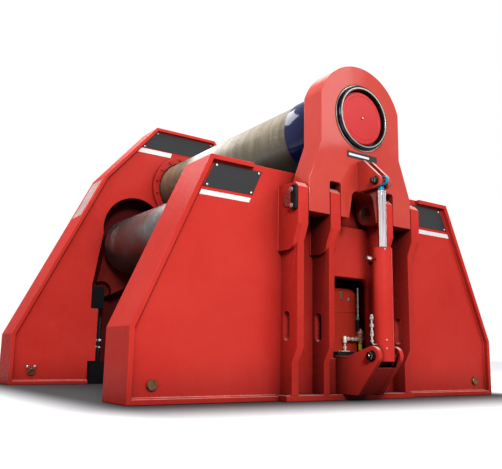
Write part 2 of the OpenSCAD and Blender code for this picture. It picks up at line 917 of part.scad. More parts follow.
module lift_feet() {
    both_sides() {
        lift_foot(near_ends, strip_t);
        lift_foot(far_ends, 0);
    }
}

// Bearing blocks of the bottom roll -------------------------------------------------------------

block_half = 125;
block_h = 150;

module bearing_block(ends) {
    color(dark_red)
        across(ends[0], ends[1])
            difference() {
                translate([-block_half, bottom_z - block_h]) square([2 * block_half, 2 * block_h]);
                translate([0, bottom_z]) circle(bottom_journal_r + fit);
            }
}

module near_block() { bearing_block(near_ends); }
module far_block() { bearing_block(far_ends); }

// Far frame --------------------------------------------------------------------------------------

housing_r = 250;

module far_inner_web() {
    color(red)
        across(far_lip + recess, far_front_in)
            difference() {
                far_outline();
                doors();
                translate([0, top_z]) circle(housing_r, $fn = 128);
                translate([0, bottom_z]) circle(bottom_journal_r + 10);
            }
}

module far_outer_web() {
    color(red)
        across(far_rear_in, far_back - recess)
            difference() {
                far_outline();
                translate([0, top_z]) circle(housing_r, $fn = 128);
                translate([0, bottom_z]) circle(bottom_journal_r + 10);
            }
}

module far_right_flange() {
    color(red)
        across(far_lip, far_back)
            polygon(strip(far_edge, strip_t));
}

module far_left_flange() {
    mirror([1, 0, 0]) far_right_flange();
}

module far_bearing() {
    face = far_lip + recess;
    color(red)
        y_revolve(0, top_z, [
            [top_r + 10, face - ring_t], [ring_r - 4, face - ring_t], [ring_r, face - ring_t + 4],
            [ring_r, face], [housing_r, face], [housing_r, far_back - recess],
            [drive_journal_r + fit, far_back - recess], [drive_journal_r + fit, face - 10],
            [top_r + 10, face - 10]]);
}

// A planetary gearbox with a hydraulic motor behind it
module drive(z, r, length) {
    y0 = far_back - recess;
    color(red)
        y_revolve(0, z, [
            [0, y0], [r + 40, y0], [r + 40, y0 + 34], [r, y0 + 34], [r, y0 + length * 0.42],
            [r + 18, y0 + length * 0.42], [r + 18, y0 + length * 0.5], [r * 0.82, y0 + length * 0.5],
            [r * 0.82, y0 + length * 0.74], [r * 0.45, y0 + length * 0.76],
            [r * 0.45, y0 + length], [0, y0 + length]]);
}

module top_drive() { drive(top_z, drive_journal_r + 45, drive_l); }
module bottom_drive() { drive(bottom_z, drive_journal_r, drive_l - 40); }

// Bed between the frames -------------------------------------------------------------------------------

beam_x = [150, 320];
beam_h = 260;
cross_half = 150;
cross_h = 200;

module bed_right_beam() {
    color(red)
        translate([beam_x[0], near_back - recess, 0])
            cube([beam_x[1] - beam_x[0], bay + 2 * recess, beam_h]);
}

module bed_left_beam() {
    mirror([1, 0, 0]) bed_right_beam();
}

module bed_cross_beam() {
    color(red)
        translate([-beam_x[0], -cross_half, 0])
            cube([2 * beam_x[0], 2 * cross_half, cross_h]);
}

near_front_web();
near_rear_web();
near_left_flange();
near_right_flange();
near_sole();
near_jambs();
rib_outer_left();
rib_inner_left();
rib_inner_right();
rib_outer_right();
centre_web();
hinge_pins();
pin_keeper();
tilt_bracket();
valve_panel();
valve_fittings();
near_block();
yoke();
yoke_bearing();
yoke_cover();
yoke_lugs();
tilt_barrel();
tilt_rod();
top_roll();
roll_collar();
bottom_roll();
left_roll();
right_roll();
near_left_arm();
far_left_arm();
near_right_arm();
far_right_arm();
left_lift_barrels();
left_lift_rods();
right_lift_barrels();
right_lift_rods();
swing_pins();
lift_feet();
far_inner_web();
far_outer_web();
far_left_flange();
far_right_flange();
far_bearing();
far_block();
top_drive();
bottom_drive();
bed_left_beam();
bed_right_beam();
bed_cross_beam();
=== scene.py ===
# %% [markdown]
# # A four-roll plate rolling machine
# The construction model already has the right size, the right bodies and the right joints.
# This lesson dresses it: paint, turned steel, chrome, bolts, welds, plates and pipework.
# Every position is read from the construction model, so the looks stay on it when a dimension changes.

# %% Load the construction model
import json
import math

import bmesh
import bpy
from mathutils import Matrix, Vector
from mathutils.geometry import interpolate_bezier

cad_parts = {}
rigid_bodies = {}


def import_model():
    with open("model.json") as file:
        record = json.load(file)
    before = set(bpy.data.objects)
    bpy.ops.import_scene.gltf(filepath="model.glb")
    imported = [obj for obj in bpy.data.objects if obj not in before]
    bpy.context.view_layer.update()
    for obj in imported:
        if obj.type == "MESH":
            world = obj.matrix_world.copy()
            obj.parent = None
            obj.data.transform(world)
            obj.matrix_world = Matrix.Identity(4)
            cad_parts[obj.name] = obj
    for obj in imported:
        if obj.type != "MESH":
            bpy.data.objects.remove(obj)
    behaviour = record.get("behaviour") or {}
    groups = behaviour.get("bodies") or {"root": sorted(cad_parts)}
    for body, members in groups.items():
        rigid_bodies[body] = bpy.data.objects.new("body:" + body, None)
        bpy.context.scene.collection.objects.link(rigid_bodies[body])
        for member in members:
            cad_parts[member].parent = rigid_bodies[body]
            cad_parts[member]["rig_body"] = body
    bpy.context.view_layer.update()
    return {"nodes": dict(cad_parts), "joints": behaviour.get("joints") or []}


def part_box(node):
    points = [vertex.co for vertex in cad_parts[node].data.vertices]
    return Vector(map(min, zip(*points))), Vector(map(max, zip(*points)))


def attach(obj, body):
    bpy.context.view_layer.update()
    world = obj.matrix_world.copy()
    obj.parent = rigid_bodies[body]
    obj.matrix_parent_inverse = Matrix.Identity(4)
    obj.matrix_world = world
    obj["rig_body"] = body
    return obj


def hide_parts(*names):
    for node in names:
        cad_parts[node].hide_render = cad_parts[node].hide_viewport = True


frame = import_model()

scene = bpy.context.scene

# %% [markdown]
# ## Reading the model
# A construction node keeps its place in its mesh, so its box says where it is.
# Real sizes of bolts, pipes and plates are written in millimetres, and Blender works in metres.
# Two small helpers keep both habits in one place.

# %% Sizes and places
MM = 0.001
X, Y, Z = Vector((1, 0, 0)), Vector((0, 1, 0)), Vector((0, 0, 1))


def mm(x, y, z):
    """A point or a direction given in millimetres."""
    return Vector((x, y, z)) * MM


def low(node):
    """The lowest corner of a construction node, in millimetres."""
    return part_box(node)[0] / MM


def high(node):
    """The highest corner of a construction node, in millimetres."""
    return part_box(node)[1] / MM


def middle(node):
    """The centre of a construction node's box, in millimetres."""
    return (low(node) + high(node)) / 2


# %% [markdown]
# ## The camera
# A machine this big is seen from knee height and from one corner, through a short telephoto lens.
# The camera is turned by three angles: round the machine, up, and a hair's tilt on its own axis.
# Building its matrix from the three directions it looks along keeps those angles readable.

# %% Camera
CAMERA_PLACE = Vector((-2.871, -4.326, 0.2577))
YAW, PITCH, TILT = math.radians(34.69), math.radians(10.775), math.radians(1.035)

lens = bpy.data.cameras.new("camera")
lens.sensor_width = 36
lens.lens = 45.746
camera = bpy.data.objects.new("camera", lens)
scene.collection.objects.link(camera)
scene.camera = camera

forward = Vector((math.sin(YAW) * math.cos(PITCH), math.cos(YAW) * math.cos(PITCH), math.sin(PITCH)))
right = Vector((math.cos(YAW), -math.sin(YAW), 0))
up = right.cross(forward)
tilted_right = math.cos(TILT) * right + math.sin(TILT) * up
tilted_up = math.cos(TILT) * up - math.sin(TILT) * right
turn = Matrix((tilted_right, tilted_up, -forward)).transposed()
camera.matrix_world = Matrix.Translation(CAMERA_PLACE) @ turn.to_4x4()
print("camera looks along", [round(v, 3) for v in forward])

# %% [markdown]
# ## Colours and nodes
# A finish is chosen as an sRGB hex value, as a paint shop would give it, and the shader wants linear light.
# One function does that conversion, and one adds any shader node with its settings and links.

# %% Colour and node helpers
def linear(hex_code):
    """An sRGB hex colour as the linear RGBA that a shader works in."""
    parts = [int(hex_code[i:i + 2], 16) / 255 for i in (1, 3, 5)]
    return [p / 12.92 if p <= 0.04045 else ((p + 0.055) / 1.055) ** 2.4 for p in parts] + [1.0]


def add(tree, kind, sockets=None, **settings):
    """Adds a shader node. sockets gives each input a value, or another node's output to link."""
    node = tree.nodes.new("ShaderNode" + kind)
    for name, value in settings.items():
        setattr(node, name, value)
    for key, value in (sockets or {}).items():
        if isinstance(value, bpy.types.NodeSocket):
            tree.links.new(value, node.inputs[key])
        else:
            node.inputs[key].default_value = value
    return node


def start(name, **sockets):
    """A new material: its node tree, its shader, and the place on the surface in metres from the origin."""
    material = bpy.data.materials.new(name)
    material.use_nodes = True
    tree = material.node_tree
    shader = tree.nodes["Principled BSDF"]
    for key, value in sockets.items():
        shader.inputs[key.replace("_", " ")].default_value = value
    return tree, shader, add(tree, "TexCoord").outputs["Object"]


# The numbered sockets of a colour Mix node, and its colour output
FACTOR, FIRST, SECOND, MIXED = 0, 6, 7, 2

print("pure red in linear light:", linear("#ff0000"))

# %% [markdown]
# ## The studio
# A plain pale studio lights the machine softly from everywhere.
# The camera, and anything shiny or clear, sees the world as plain white, while the light on the machine stays at a
# level at which a colour looks about as it is written. The Light Path node tells these rays apart.

# %% World
world = bpy.data.worlds.new("studio")
scene.world = world
world.use_nodes = True
sky = world.node_tree
sky.nodes.clear()
ray = add(sky, "LightPath")
seen = add(sky, "Math", {0: ray.outputs["Is Camera Ray"], 1: ray.outputs["Is Glossy Ray"]}, operation="MAXIMUM")
seen = add(sky, "Math", {0: seen.outputs[0], 1: ray.outputs["Is Transmission Ray"]}, operation="MAXIMUM")
SKY_LIGHT = 0.35
soft = add(sky, "Background", {"Color": linear("#f4f7ff"), "Strength": SKY_LIGHT})
white = add(sky, "Background", {"Color": linear("#ffffff"), "Strength": 1.0})
both = add(sky, "MixShader", {0: seen.outputs[0], 1: soft.outputs[0], 2: white.outputs[0]})
add(sky, "OutputWorld", {"Surface": both.outputs[0]})
print("sky light on the machine:", SKY_LIGHT)

# %% [markdown]
# ## The lamps
# A workshop's lights show up in gloss paint as sheens and streaks, so each lamp here has one job.
# The sun lamp stands to the left and in front, and draws the shadows to the right of each rib. The key stands to
# the right and gives the yoke's face its sheen. The skylight hangs over the rolls and lights all that faces up.
# A wide screen behind mirrors in every edge that leans back, and turns the yoke's round top white.
# Long narrow tubes draw the bright lines on the collar, the barrel and the chromed rod. Places and aims are in
# metres, then the lamp's width, its height and its power in watts.

# %% Lamps
def lamp(name, place, aim, width, height, power):
    """An area lamp that faces a point."""
    data = bpy.data.lights.new(name, "AREA")
    data.shape = "RECTANGLE"
    data.size, data.size_y = width, height
    data.energy = power
    made = bpy.data.objects.new(name, data)
    made.location = place
    made.rotation_euler = (Vector(aim) - Vector(place)).to_track_quat("-Z", "Y").to_euler()
    scene.collection.objects.link(made)


lamp("sun_side", (-3.8, -8.1, 4.4), (0, -1.0, 1.0), 1.8, 1.8, 630)
lamp("key", (4.6, -8.2, 6.0), (0, -1.3, 1.6), 3.0, 3.0, 130)
lamp("skylight", (-0.4, 0.2, 6.6), (0, 0, 1.2), 2.4, 4.5, 230)
lamp("screen", (-0.8, 5.6, 6.3), (-0.3, -1.3, 1.9), 5.0, 1.8, 260)
lamp("tube_high", (-6.0, 0.5, 6.2), (0, -0.3, 1.8), 0.25, 7.0, 50)
lamp("tube_left", (-7.5, 0.5, 3.0), (0, -0.3, 1.8), 0.5, 6.0, 32)
lamp("tube_right", (7.0, -1.2, 2.0), (0, -1.6, 1.0), 0.25, 4.0, 60)

# %% [markdown]
# ## The floor
# A studio sheet runs far out past the machine. It is one large square a millimetre under the feet, so that it
# never fights with them for the same depth. It is matt, and it keeps the machine's shadow.
# The sheet is grey where the machine stands, a painted shadow, and pales to white further out, over a distance
# that is measured from the machine's footprint: fold the floor into one quarter, take the footprint away, keep what is
# left.
# For rays that light the machine it is one even grey, so its white part throws no extra light up. It shines a
# little of its own only for the rays that are looked along.

# %% Floor
def to_object(bm, name):
    """Turns a bmesh into an object at the origin, with its doubles merged and its faces pointing outwards."""
    bmesh.ops.remove_doubles(bm, verts=bm.verts, dist=0.02 * MM)
    bmesh.ops.recalc_face_normals(bm, faces=bm.faces)
    mesh = bpy.data.meshes.new(name)
    bm.to_mesh(mesh)
    bm.free()
    made = bpy.data.objects.new(name, mesh)
    scene.collection.objects.link(made)
    return made


bm = bmesh.new()
FLOOR_REACH = 120
bmesh.ops.create_grid(bm, x_segments=1, y_segments=1, size=FLOOR_REACH, matrix=Matrix.Translation((0, 0, -0.001)))
floor = to_object(bm, "floor")
tree, shader, place = start("pale_floor", Roughness=0.9, Specular_IOR_Level=0.1)
# Half the floor that the frames cover, and how far the painted shadow reaches past it across the rolls and along them,
# in metres
FOOTPRINT = (high("near_right_flange").x * MM, -low("near_right_flange").y * MM, 0)
FADE_STEP = (0.65, 1.2, 1)
FADE_END = 1.15
GLOW = 0.55
folded = add(tree, "VectorMath", {0: place}, operation="ABSOLUTE")
past = add(tree, "VectorMath", {0: folded.outputs[0], 1: FOOTPRINT}, operation="SUBTRACT")
outside = add(tree, "VectorMath", {0: past.outputs[0], 1: (0, 0, 0)}, operation="MAXIMUM")
shares = add(tree, "VectorMath", {0: outside.outputs[0], 1: FADE_STEP}, operation="DIVIDE")
reach = add(tree, "VectorMath", {0: shares.outputs[0]}, operation="LENGTH")
# Painted shadow: the sheet's colour is grey at the footprint and pales to white with this distance.
shadow_fade = add(tree, "MapRange", {"Value": reach.outputs["Value"], "From Max": FADE_END}, interpolation_type="SMOOTHSTEP")
sheet = add(tree, "Mix", {FACTOR: shadow_fade.outputs[0], FIRST: linear("#424244"), SECOND: linear("#f4f4f6")},
            data_type="RGBA")
ray = add(tree, "LightPath")
pale = add(tree, "Mix", {FACTOR: ray.outputs["Is Diffuse Ray"], FIRST: sheet.outputs[MIXED],
                         SECOND: linear("#5f5f60")}, data_type="RGBA")
tree.links.new(pale.outputs[MIXED], shader.inputs["Base Color"])
looked_at = add(tree, "Math", {0: GLOW, 1: ray.outputs["Is Diffuse Ray"]}, operation="SUBTRACT", use_clamp=True)
lift = add(tree, "Math", {0: shadow_fade.outputs[0], 1: looked_at.outputs[0]}, operation="MULTIPLY")
tree.links.new(lift.outputs[0], shader.inputs["Emission Strength"])
shader.inputs["Emission Color"].default_value = linear("#ffffff")
floor.data.materials.append(bpy.data.materials["pale_floor"])
print("floor laid round a footprint of", [round(2 * side, 3) for side in FOOTPRINT[:2]], "m")

# %% [markdown]
# ## Red machine enamel
# The frames are flame-cut mill plate, welded, filled and sprayed with a gloss two-part enamel.
# Up close such paint shows orange peel, and over a metre the plate under it is never quite flat.
# Noise of three real sizes gives that: a slow change of tone, a slow swell of the plate, and the peel itself.
# The colour is matt and all the gloss is in a clear coat over it, as on sprayed enamel. What faces up is paled, partly
# by dust and partly as painted highlight.
# An Ambient Occlusion node darkens the colour in the recesses: painted shade.
# Real peel is about 3 mm, too fine to see on a machine 3 m wide, so it is drawn at 14 mm.
# The other paints of the machine differ only in their colours, their gloss, and how much pale top and painted recess
# shade they carry.

# %% Enamel
def enamel(name, dark, light, gloss=0.3, coat=0.25, peel_mm=14, swell=0.5, dust_and_highlight=0.0, painted_recess_shade=0.0):
    """Sprayed enamel under a clear gloss. One share pales the faces that look up, as dust and painted highlight; the
    other darkens the recesses, as painted shade.
    """
    tree, shader, place = start(name, Roughness=0.6, Specular_IOR_Level=0.0, Coat_Weight=coat)
    tone = add(tree, "TexNoise", {"Vector": place, "Scale": 1 / (380 * MM), "Detail": 4.0, "Roughness": 0.6})
    spread = add(tree, "MapRange", {"Value": tone.outputs["Fac"], "From Min": 0.34, "From Max": 0.66})
    colour = add(tree, "Mix", {FACTOR: spread.outputs[0], FIRST: linear(dark), SECOND: linear(light)}, data_type="RGBA")
    specks = add(tree, "TexNoise", {"Vector": place, "Scale": 1 / (55 * MM), "Detail": 5.0, "Roughness": 0.7})
    # Faces that look up are paled: dust, and a painted highlight on the tops and ledges.
    faces = add(tree, "SeparateXYZ", {0: add(tree, "TexCoord").outputs["Normal"]})
    lying = add(tree, "MapRange", {"Value": faces.outputs["Z"], "From Min": 0.54, "From Max": 0.88, "To Max": dust_and_highlight})
    dust_and_highlight_share = add(tree, "Math", {0: lying.outputs[0], 1: specks.outputs["Fac"]}, operation="MULTIPLY")
    dusted_and_highlit = add(tree, "Mix", {FACTOR: dust_and_highlight_share.outputs[0], FIRST: colour.outputs[MIXED], SECOND: linear("#f3d9d2")},
                data_type="RGBA")
    # Painted shade: the colour darkens towards a dark red in the recesses that ambient occlusion finds.
    shelter = add(tree, "AmbientOcclusion", {"Distance": 0.36}, samples=8)
    closed = add(tree, "MapRange", {"Value": shelter.outputs["AO"], "From Min": 0.15, "From Max": 0.85,
                                    "To Min": painted_recess_shade, "To Max": 0.0})
    recess_shaded = add(tree, "Mix", {FACTOR: closed.outputs[0], FIRST: dusted_and_highlit.outputs[MIXED], SECOND: linear("#3a0a08")},
                data_type="RGBA")
    tree.links.new(recess_shaded.outputs[MIXED], shader.inputs["Base Color"])
    sheen = add(tree, "MapRange", {"Value": specks.outputs["Fac"], "From Min": 0.3, "From Max": 0.75,
                                   "To Min": gloss * 0.85, "To Max": gloss * 1.35})
    tree.links.new(sheen.outputs[0], shader.inputs["Coat Roughness"])
    wave = add(tree, "TexNoise", {"Vector": place, "Scale": 1 / (260 * MM), "Detail": 1.0})
    plate = add(tree, "Bump", {"Height": wave.outputs["Fac"], "Strength": swell, "Distance": 2.2 * MM})
    peel = add(tree, "TexNoise", {"Vector": place, "Scale": 1 / (peel_mm * MM), "Detail": 2.0})
    skin = add(tree, "Bump", {"Height": peel.outputs["Fac"], "Strength": 0.12, "Distance": 0.5 * MM,
                              "Normal": plate.outputs[0]})
    tree.links.new(skin.outputs[0], shader.inputs["Normal"])
    tree.links.new(skin.outputs[0], shader.inputs["Coat Normal"])
    return bpy.data.materials[name]


# Sprayed on the frames and gone a little dull: a broad, soft sheen. Its tops are paled by dust and painted highlight,
# and its recesses are darkened as painted shade.
RED = enamel("sprayed_red_enamel", "#cb322a", "#d23a31", 0.26, 0.12, dust_and_highlight=1.2, painted_recess_shade=1.0)
# The yoke's fresh coat: it mirrors the lamps, and its round top goes nearly white, partly as painted highlight. Its
# paler, pinker colour is painted sheen.
GLOSS_SHEEN_RED = enamel("gloss_red_enamel_painted_sheen", "#c93a2f", "#d04538", 0.08, 0.5, swell=0.9, dust_and_highlight=2.2, painted_recess_shade=0.9)
# A flat dark red for the inside of the far frame: painted shade, where the inside stands in shadow
INSIDE_SHADE_RED = enamel("inside_red_painted_shade", "#4a1214", "#571719", 0.6, 0.05)
# The bearing cover is enamelled apart, a little bluer than the yoke
CRIMSON = enamel("gloss_crimson_enamel", "#cb2426", "#d02c2e", 0.3, 0.5)
# Brushed by hand on the panel and the blocks: uneven and low in gloss, and darker, as painted shade
PANEL_SHADE_RED = enamel("brushed_red_enamel_painted_shade", "#9c261a", "#a82e20", 0.5, 0.15, dust_and_highlight=0.3)
# The swing arms and the upper port's neck: a dark red, painted shade
ARM_SHADE_RED = enamel("arm_red_enamel_painted_shade", "#5c1410", "#701c16", 0.5, 0.15, painted_recess_shade=0.8)
# Satin black on the lift cylinders and their feet
BLACK = enamel("satin_black_enamel", "#0d0e10", "#17181b", 0.35, 0.3)
# The collar: dark, with hard bright streaks
NAVY = enamel("gloss_navy_enamel", "#0b1242", "#121b58", 0.07, 0.35, swell=0.3)
# The rod's eye
CYAN = enamel("gloss_cyan_enamel", "#1389b4", "#22a0c8", 0.3)
print("enamels:", [m.name for m in (RED, GLOSS_SHEEN_RED, INSIDE_SHADE_RED, CRIMSON, PANEL_SHADE_RED, ARM_SHADE_RED, BLACK, NAVY, CYAN)])

# %% [markdown]
# ## Turned and oiled roll steel
# The rolls are forged carbon steel, turned and ground, then kept under a thin film of oil.
# The tool leaves bands that run round the roll, so the pattern changes fast along the axis and slowly round it.
# Handling and plate scale leave longer, warmer patches where the oil has browned. Pale flecks stand partly for dried
# oil and partly for glints, a painted highlight.
# The underside is darkened in the colour: painted shade. It stays under however far the roll has turned.
# The tool's real feed is under 1 mm, too fine to show, so the bands are drawn 60 mm wide with finer ones in them.
# The film of oil hides most of the metal's mirror, so the steel is shaded as a glossy paint with a little metal.

# %% Roll steel
def roll_steel(name, dark, light, brown, fleck_and_glint, rough=(0.3, 0.5)):
    """Oiled steel with turning bands round the Y axis, browned patches, pale flecks that are partly painted glints, and
    an underside darkened as painted shade.
    """
    tree, shader, place = start(name, Metallic=0.08, Specular_IOR_Level=0.6)
    across, along = 1 / (476.2 * MM), 1 / (60.6 * MM)
    stretched = add(tree, "Mapping", {"Vector": place, "Scale": (across, along, across)})
    bands = add(tree, "TexNoise", {"Vector": stretched.outputs[0], "Scale": 1.0, "Detail": 6.0, "Roughness": 0.7})
    tone = add(tree, "MapRange", {"Value": bands.outputs["Fac"], "From Min": 0.25, "From Max": 0.75})
    steel = add(tree, "Mix", {FACTOR: tone.outputs[0], FIRST: linear(dark), SECOND: linear(light)}, data_type="RGBA")
    patch = add(tree, "TexNoise", {"Vector": place, "Scale": 1 / (416.7 * MM), "Detail": 6.0, "Roughness": 0.65})
    stain = add(tree, "MapRange", {"Value": patch.outputs["Fac"], "From Min": 0.45, "From Max": 0.7, "To Max": 0.7})
    aged = add(tree, "Mix", {FACTOR: stain.outputs[0], FIRST: steel.outputs[MIXED], SECOND: linear(brown)},
               data_type="RGBA")
    # Pale flecks: partly dried oil, partly painted glints.
    spots = add(tree, "TexNoise", {"Vector": place, "Scale": 1 / (210 * MM), "Detail": 9.0, "Roughness": 0.8})
    fleck_glint_share = add(tree, "MapRange", {"Value": spots.outputs["Fac"], "From Min": 0.54, "From Max": 0.74, "To Max": 0.55})
    fleck_glinted = add(tree, "Mix", {FACTOR: fleck_glint_share.outputs[0], FIRST: aged.outputs[MIXED], SECOND: linear(fleck_and_glint)},
                  data_type="RGBA")
    # Painted shade: the colour darkens on what faces down in the world, whichever way the roll has turned.
    facing = add(tree, "SeparateXYZ", {"Vector": add(tree, "NewGeometry").outputs["Normal"]})
    under = add(tree, "MapRange", {"Value": facing.outputs["Z"], "From Min": 0.35, "From Max": -0.5, "To Max": 0.8})
    underside_shaded = add(tree, "Mix", {FACTOR: under.outputs[0], FIRST: fleck_glinted.outputs[MIXED], SECOND: linear("#16120f")},
                data_type="RGBA")
    tree.links.new(underside_shaded.outputs[MIXED], shader.inputs["Base Color"])
    film = add(tree, "MapRange", {"Value": patch.outputs["Fac"], "From Min": 0.3, "From Max": 0.7,
                                  "To Min": rough[0], "To Max": rough[1]})
    tree.links.new(film.outputs[0], shader.inputs["Roughness"])
    groove = add(tree, "Bump", {"Height": bands.outputs["Fac"], "Strength": 0.3, "Distance": 0.5 * MM})
    tree.links.new(groove.outputs[0], shader.inputs["Normal"])
    return bpy.data.materials[name]


# The top roll is brown and fairly pale, the side rolls are nearly black with bluish-white flecks, partly painted glints
ROLL = roll_steel("oiled_turned_roll_steel", "#5a4e3c", "#a89a7c", "#4a3b28", "#d6cdb2")
SIDE_ROLL = roll_steel("dark_oiled_roll_steel", "#24211e", "#4c4740", "#2a221b", "#c3ced9", (0.24, 0.4))
print("roll finishes:", ROLL.name, SIDE_ROLL.name)

# %% [markdown]
# ## Bare and plated metals
# Pins and fittings are bare or plated metal. A metal has no colour of its own light: it tints what it mirrors, so
# one helper varies the tint and the gloss together, with a noise as wide as the stains on that metal.
# Stretching the noise draws it out into the lines that drawing, brushing or grinding leave.
# Old brass and nickel are under a dull skin, which is only part metal. Metals keep the default IOR.

# %% Bright metals
def bare_metal(name, colour, shade, rough, grain_mm, stretch=(1, 1, 1), metallic=1.0):
    """Bare or plated metal whose tone and gloss vary with a noise of one real size."""
    tree, shader, place = start(name, Metallic=metallic)
    drawn = add(tree, "Mapping", {"Vector": place, "Scale": stretch})
    grain = add(tree, "TexNoise", {"Vector": drawn.outputs[0], "Scale": 1 / (grain_mm * MM), "Detail": 5.0,
                                   "Roughness": 0.62})
    tone = add(tree, "MapRange", {"Value": grain.outputs["Fac"], "From Min": 0.3, "From Max": 0.7})
    metal = add(tree, "Mix", {FACTOR: tone.outputs[0], FIRST: linear(shade), SECOND: linear(colour)},
                data_type="RGBA")
    tree.links.new(metal.outputs[MIXED], shader.inputs["Base Color"])
    gloss = add(tree, "MapRange", {"Value": grain.outputs["Fac"], "From Min": 0.3, "From Max": 0.7,
                                   "To Min": rough * 0.75, "To Max": rough * 1.3})
    tree.links.new(gloss.outputs[0], shader.inputs["Roughness"])
    return bpy.data.materials[name]


# Fasteners, plated: even, pale and slightly cloudy
ZINC = bare_metal("zinc_plated_steel", "#cfcfcb", "#9a9a96", 0.3, 18)
# Pins and plain pipes, ground: fine bright lines
GROUND = bare_metal("ground_pin_steel", "#b5b1a8", "#86827a", 0.28, 22, (1, 1, 6))
# Cylinder rods, hard chromed: a mirror, with long pale and dark streaks in its colour that are painted reflection
CHROME = bare_metal("hard_chromed_rod", "#f4f3f2", "#6b6470", 0.09, 24, (1, 1, 0.04))
# Pin nuts, oiled black oxide: dark with bright rims
OXIDE = bare_metal("oiled_black_oxide_steel", "#6b6967", "#363433", 0.22, 14)
# The valve and its line, dulled in the shop air: pinkish brass and creamy nickel
ROSE_BRASS = bare_metal("tarnished_rose_brass", "#dba593", "#b37f70", 0.36, 12, metallic=0.3)
NICKEL = bare_metal("dull_nickel_fitting", "#e6dccb", "#b9ab98", 0.4, 12, metallic=0.3)
# The bearing's sleeve: nearly black with a cold shine; the near-black is a painted reflection of dark surroundings
DARK_MIRROR_STEEL = bare_metal("bearing_steel_painted_dark_reflection", "#2b2e3d", "#15171f", 0.16, 40)
# Boss plugs, oiled bronze: brown and patchy
BRONZE = bare_metal("oiled_bronze_plug", "#8a6a4c", "#4b3526", 0.4, 9)
print("metals:", [m.name for m in (ZINC, GROUND, CHROME, OXIDE, ROSE_BRASS, NICKEL, DARK_MIRROR_STEEL, BRONZE)])

# %% [markdown]
# ## Faced steel
# The rims of the bearing sleeve are faced on a lathe, and the tool marks are circles about the axis.
# Such marks could be drawn by a ring texture, but a noise read from the distance to the axis gives them uneven
# widths, as the real ones have. Here they are 3 mm apart, about ten times coarser than the real ones, to show.

# %% Faced ring steel
def faced_steel(name, node):
    """Steel faced in circles about the axis of a turned part along Y."""
    tree, shader, place = start(name, Metallic=1.0)
    axis = middle(node) * MM
    centred = add(tree, "Mapping", {"Vector": place, "Location": (-axis.x, 0, -axis.z), "Scale": (1, 0, 1)})
    reach = add(tree, "VectorMath", {0: centred.outputs[0]}, operation="LENGTH")
    rings = add(tree, "TexNoise", {"W": reach.outputs["Value"], "Scale": 1 / (3.0 * MM), "Detail": 3.0},
                noise_dimensions="1D")
    metal = add(tree, "Mix", {FACTOR: rings.outputs[0], FIRST: linear("#6c6a5c"), SECOND: linear("#b9b49f")},
                data_type="RGBA")
    tree.links.new(metal.outputs[MIXED], shader.inputs["Base Color"])
    gloss = add(tree, "MapRange", {"Value": rings.outputs[0], "To Min": 0.18, "To Max": 0.36})
    tree.links.new(gloss.outputs[0], shader.inputs["Roughness"])
    return bpy.data.materials[name]


FACED = faced_steel("faced_ring_steel", "yoke_bearing")
print("ring finish:", FACED.name)

# %% [markdown]
# ## Plates, stripes and rubber
# The blank nameplates are black anodised aluminium, brushed along their length, so their noise is drawn out along X.
# The anodic layer is a dull skin, so it is shaded as part metal.
# The stripes are cut from white vinyl film: pale, even, with a faint wrinkle. A worn sheet of it is pale pink, partly a
# painted reflection.
# The rod's wiper seal and the joint of the valve's pipe are black nitrile rubber, dull and a little dusty.
# The thread seal is green tape and the valve's cap is yellow plastic, both with a fine moulded skin.

# %% Plate, vinyl and rubber
PLATE = bare_metal("black_anodised_plate", "#1f2023", "#131416", 0.5, 60, (0.25, 1, 14), 0.3)
VINYL = enamel("white_vinyl_film", "#e8ece9", "#f4f6f4", 0.45, swell=0.2)
PALE_VINYL_REFLECTION = enamel("pale_vinyl_painted_reflection", "#c2968f", "#d9c7c0", 0.5, swell=0.2)
RUBBER = enamel("black_nitrile_rubber", "#0e0f10", "#1b1c1c", 0.6, peel_mm=4)
GREEN = enamel("green_thread_seal", "#2f7d4a", "#479a60", 0.5, peel_mm=4)
YELLOW = enamel("yellow_plastic_cap", "#d9b21e", "#eccb3a", 0.4, peel_mm=4)
print("plates and plastics:", [m.name for m in (PLATE, VINYL, PALE_VINYL_REFLECTION, RUBBER, GREEN, YELLOW)])

# %% [markdown]
# ## Paint on the construction nodes
# Most construction nodes are already the right shape, so they only need their finish.
# Assigning it to each of the object's material slots leaves the mesh untouched.

# %% Paint the nodes
NODE_FINISH = {
    "left_lift_barrels": BLACK, "right_lift_barrels": BLACK, "left_lift_rods": BLACK, "right_lift_rods": BLACK,
    "lift_feet": BLACK, "swing_pins": GROUND, "hinge_pins": GROUND, "pin_keeper": BLACK, "valve_panel": PANEL_SHADE_RED,
    "near_block": PANEL_SHADE_RED, "far_block": PANEL_SHADE_RED, "near_left_arm": ARM_SHADE_RED, "far_left_arm": ARM_SHADE_RED,
    "near_right_arm": ARM_SHADE_RED, "far_right_arm": ARM_SHADE_RED, "valve_fittings": ROSE_BRASS,
}
for name, node in frame["nodes"].items():
    for held in node.material_slots:
        held.material = NODE_FINISH.get(name, RED)
print("nodes painted:", len(frame["nodes"]))

# %% [markdown]
# ## Shapes from a few operators
# Nearly everything bolted to a machine is turned, cut from plate or bent from pipe.
# So a few small helpers are enough: one spins a profile, two draw a face or an outline out, one makes a box, and
# one bends a pipe, which is a curve with a round section that is turned into mesh.

# %% Shaping helpers
def spun(bm, place, axis, profile, steps=48):
    """Spins a profile of (radius, distance along) in millimetres about an axis through place."""
    axis = Vector(axis).normalized()
    side = axis.orthogonal().normalized()
    verts = [bm.verts.new(place + (side * r + axis * a) * MM) for r, a in profile]
    edges = [bm.edges.new(pair) for pair in zip(verts, verts[1:])]
    bmesh.ops.spin(bm, geom=verts + edges, cent=place, axis=axis, dvec=(0, 0, 0), angle=math.tau,
                   steps=steps, use_merge=True, use_duplicate=False)


def swept(bm, faces, depth):
    """Draws faces out along the vector depth."""
    out = bmesh.ops.extrude_face_region(bm, geom=faces)["geom"]
    bmesh.ops.translate(bm, verts=[v for v in out if isinstance(v, bmesh.types.BMVert)], vec=depth)


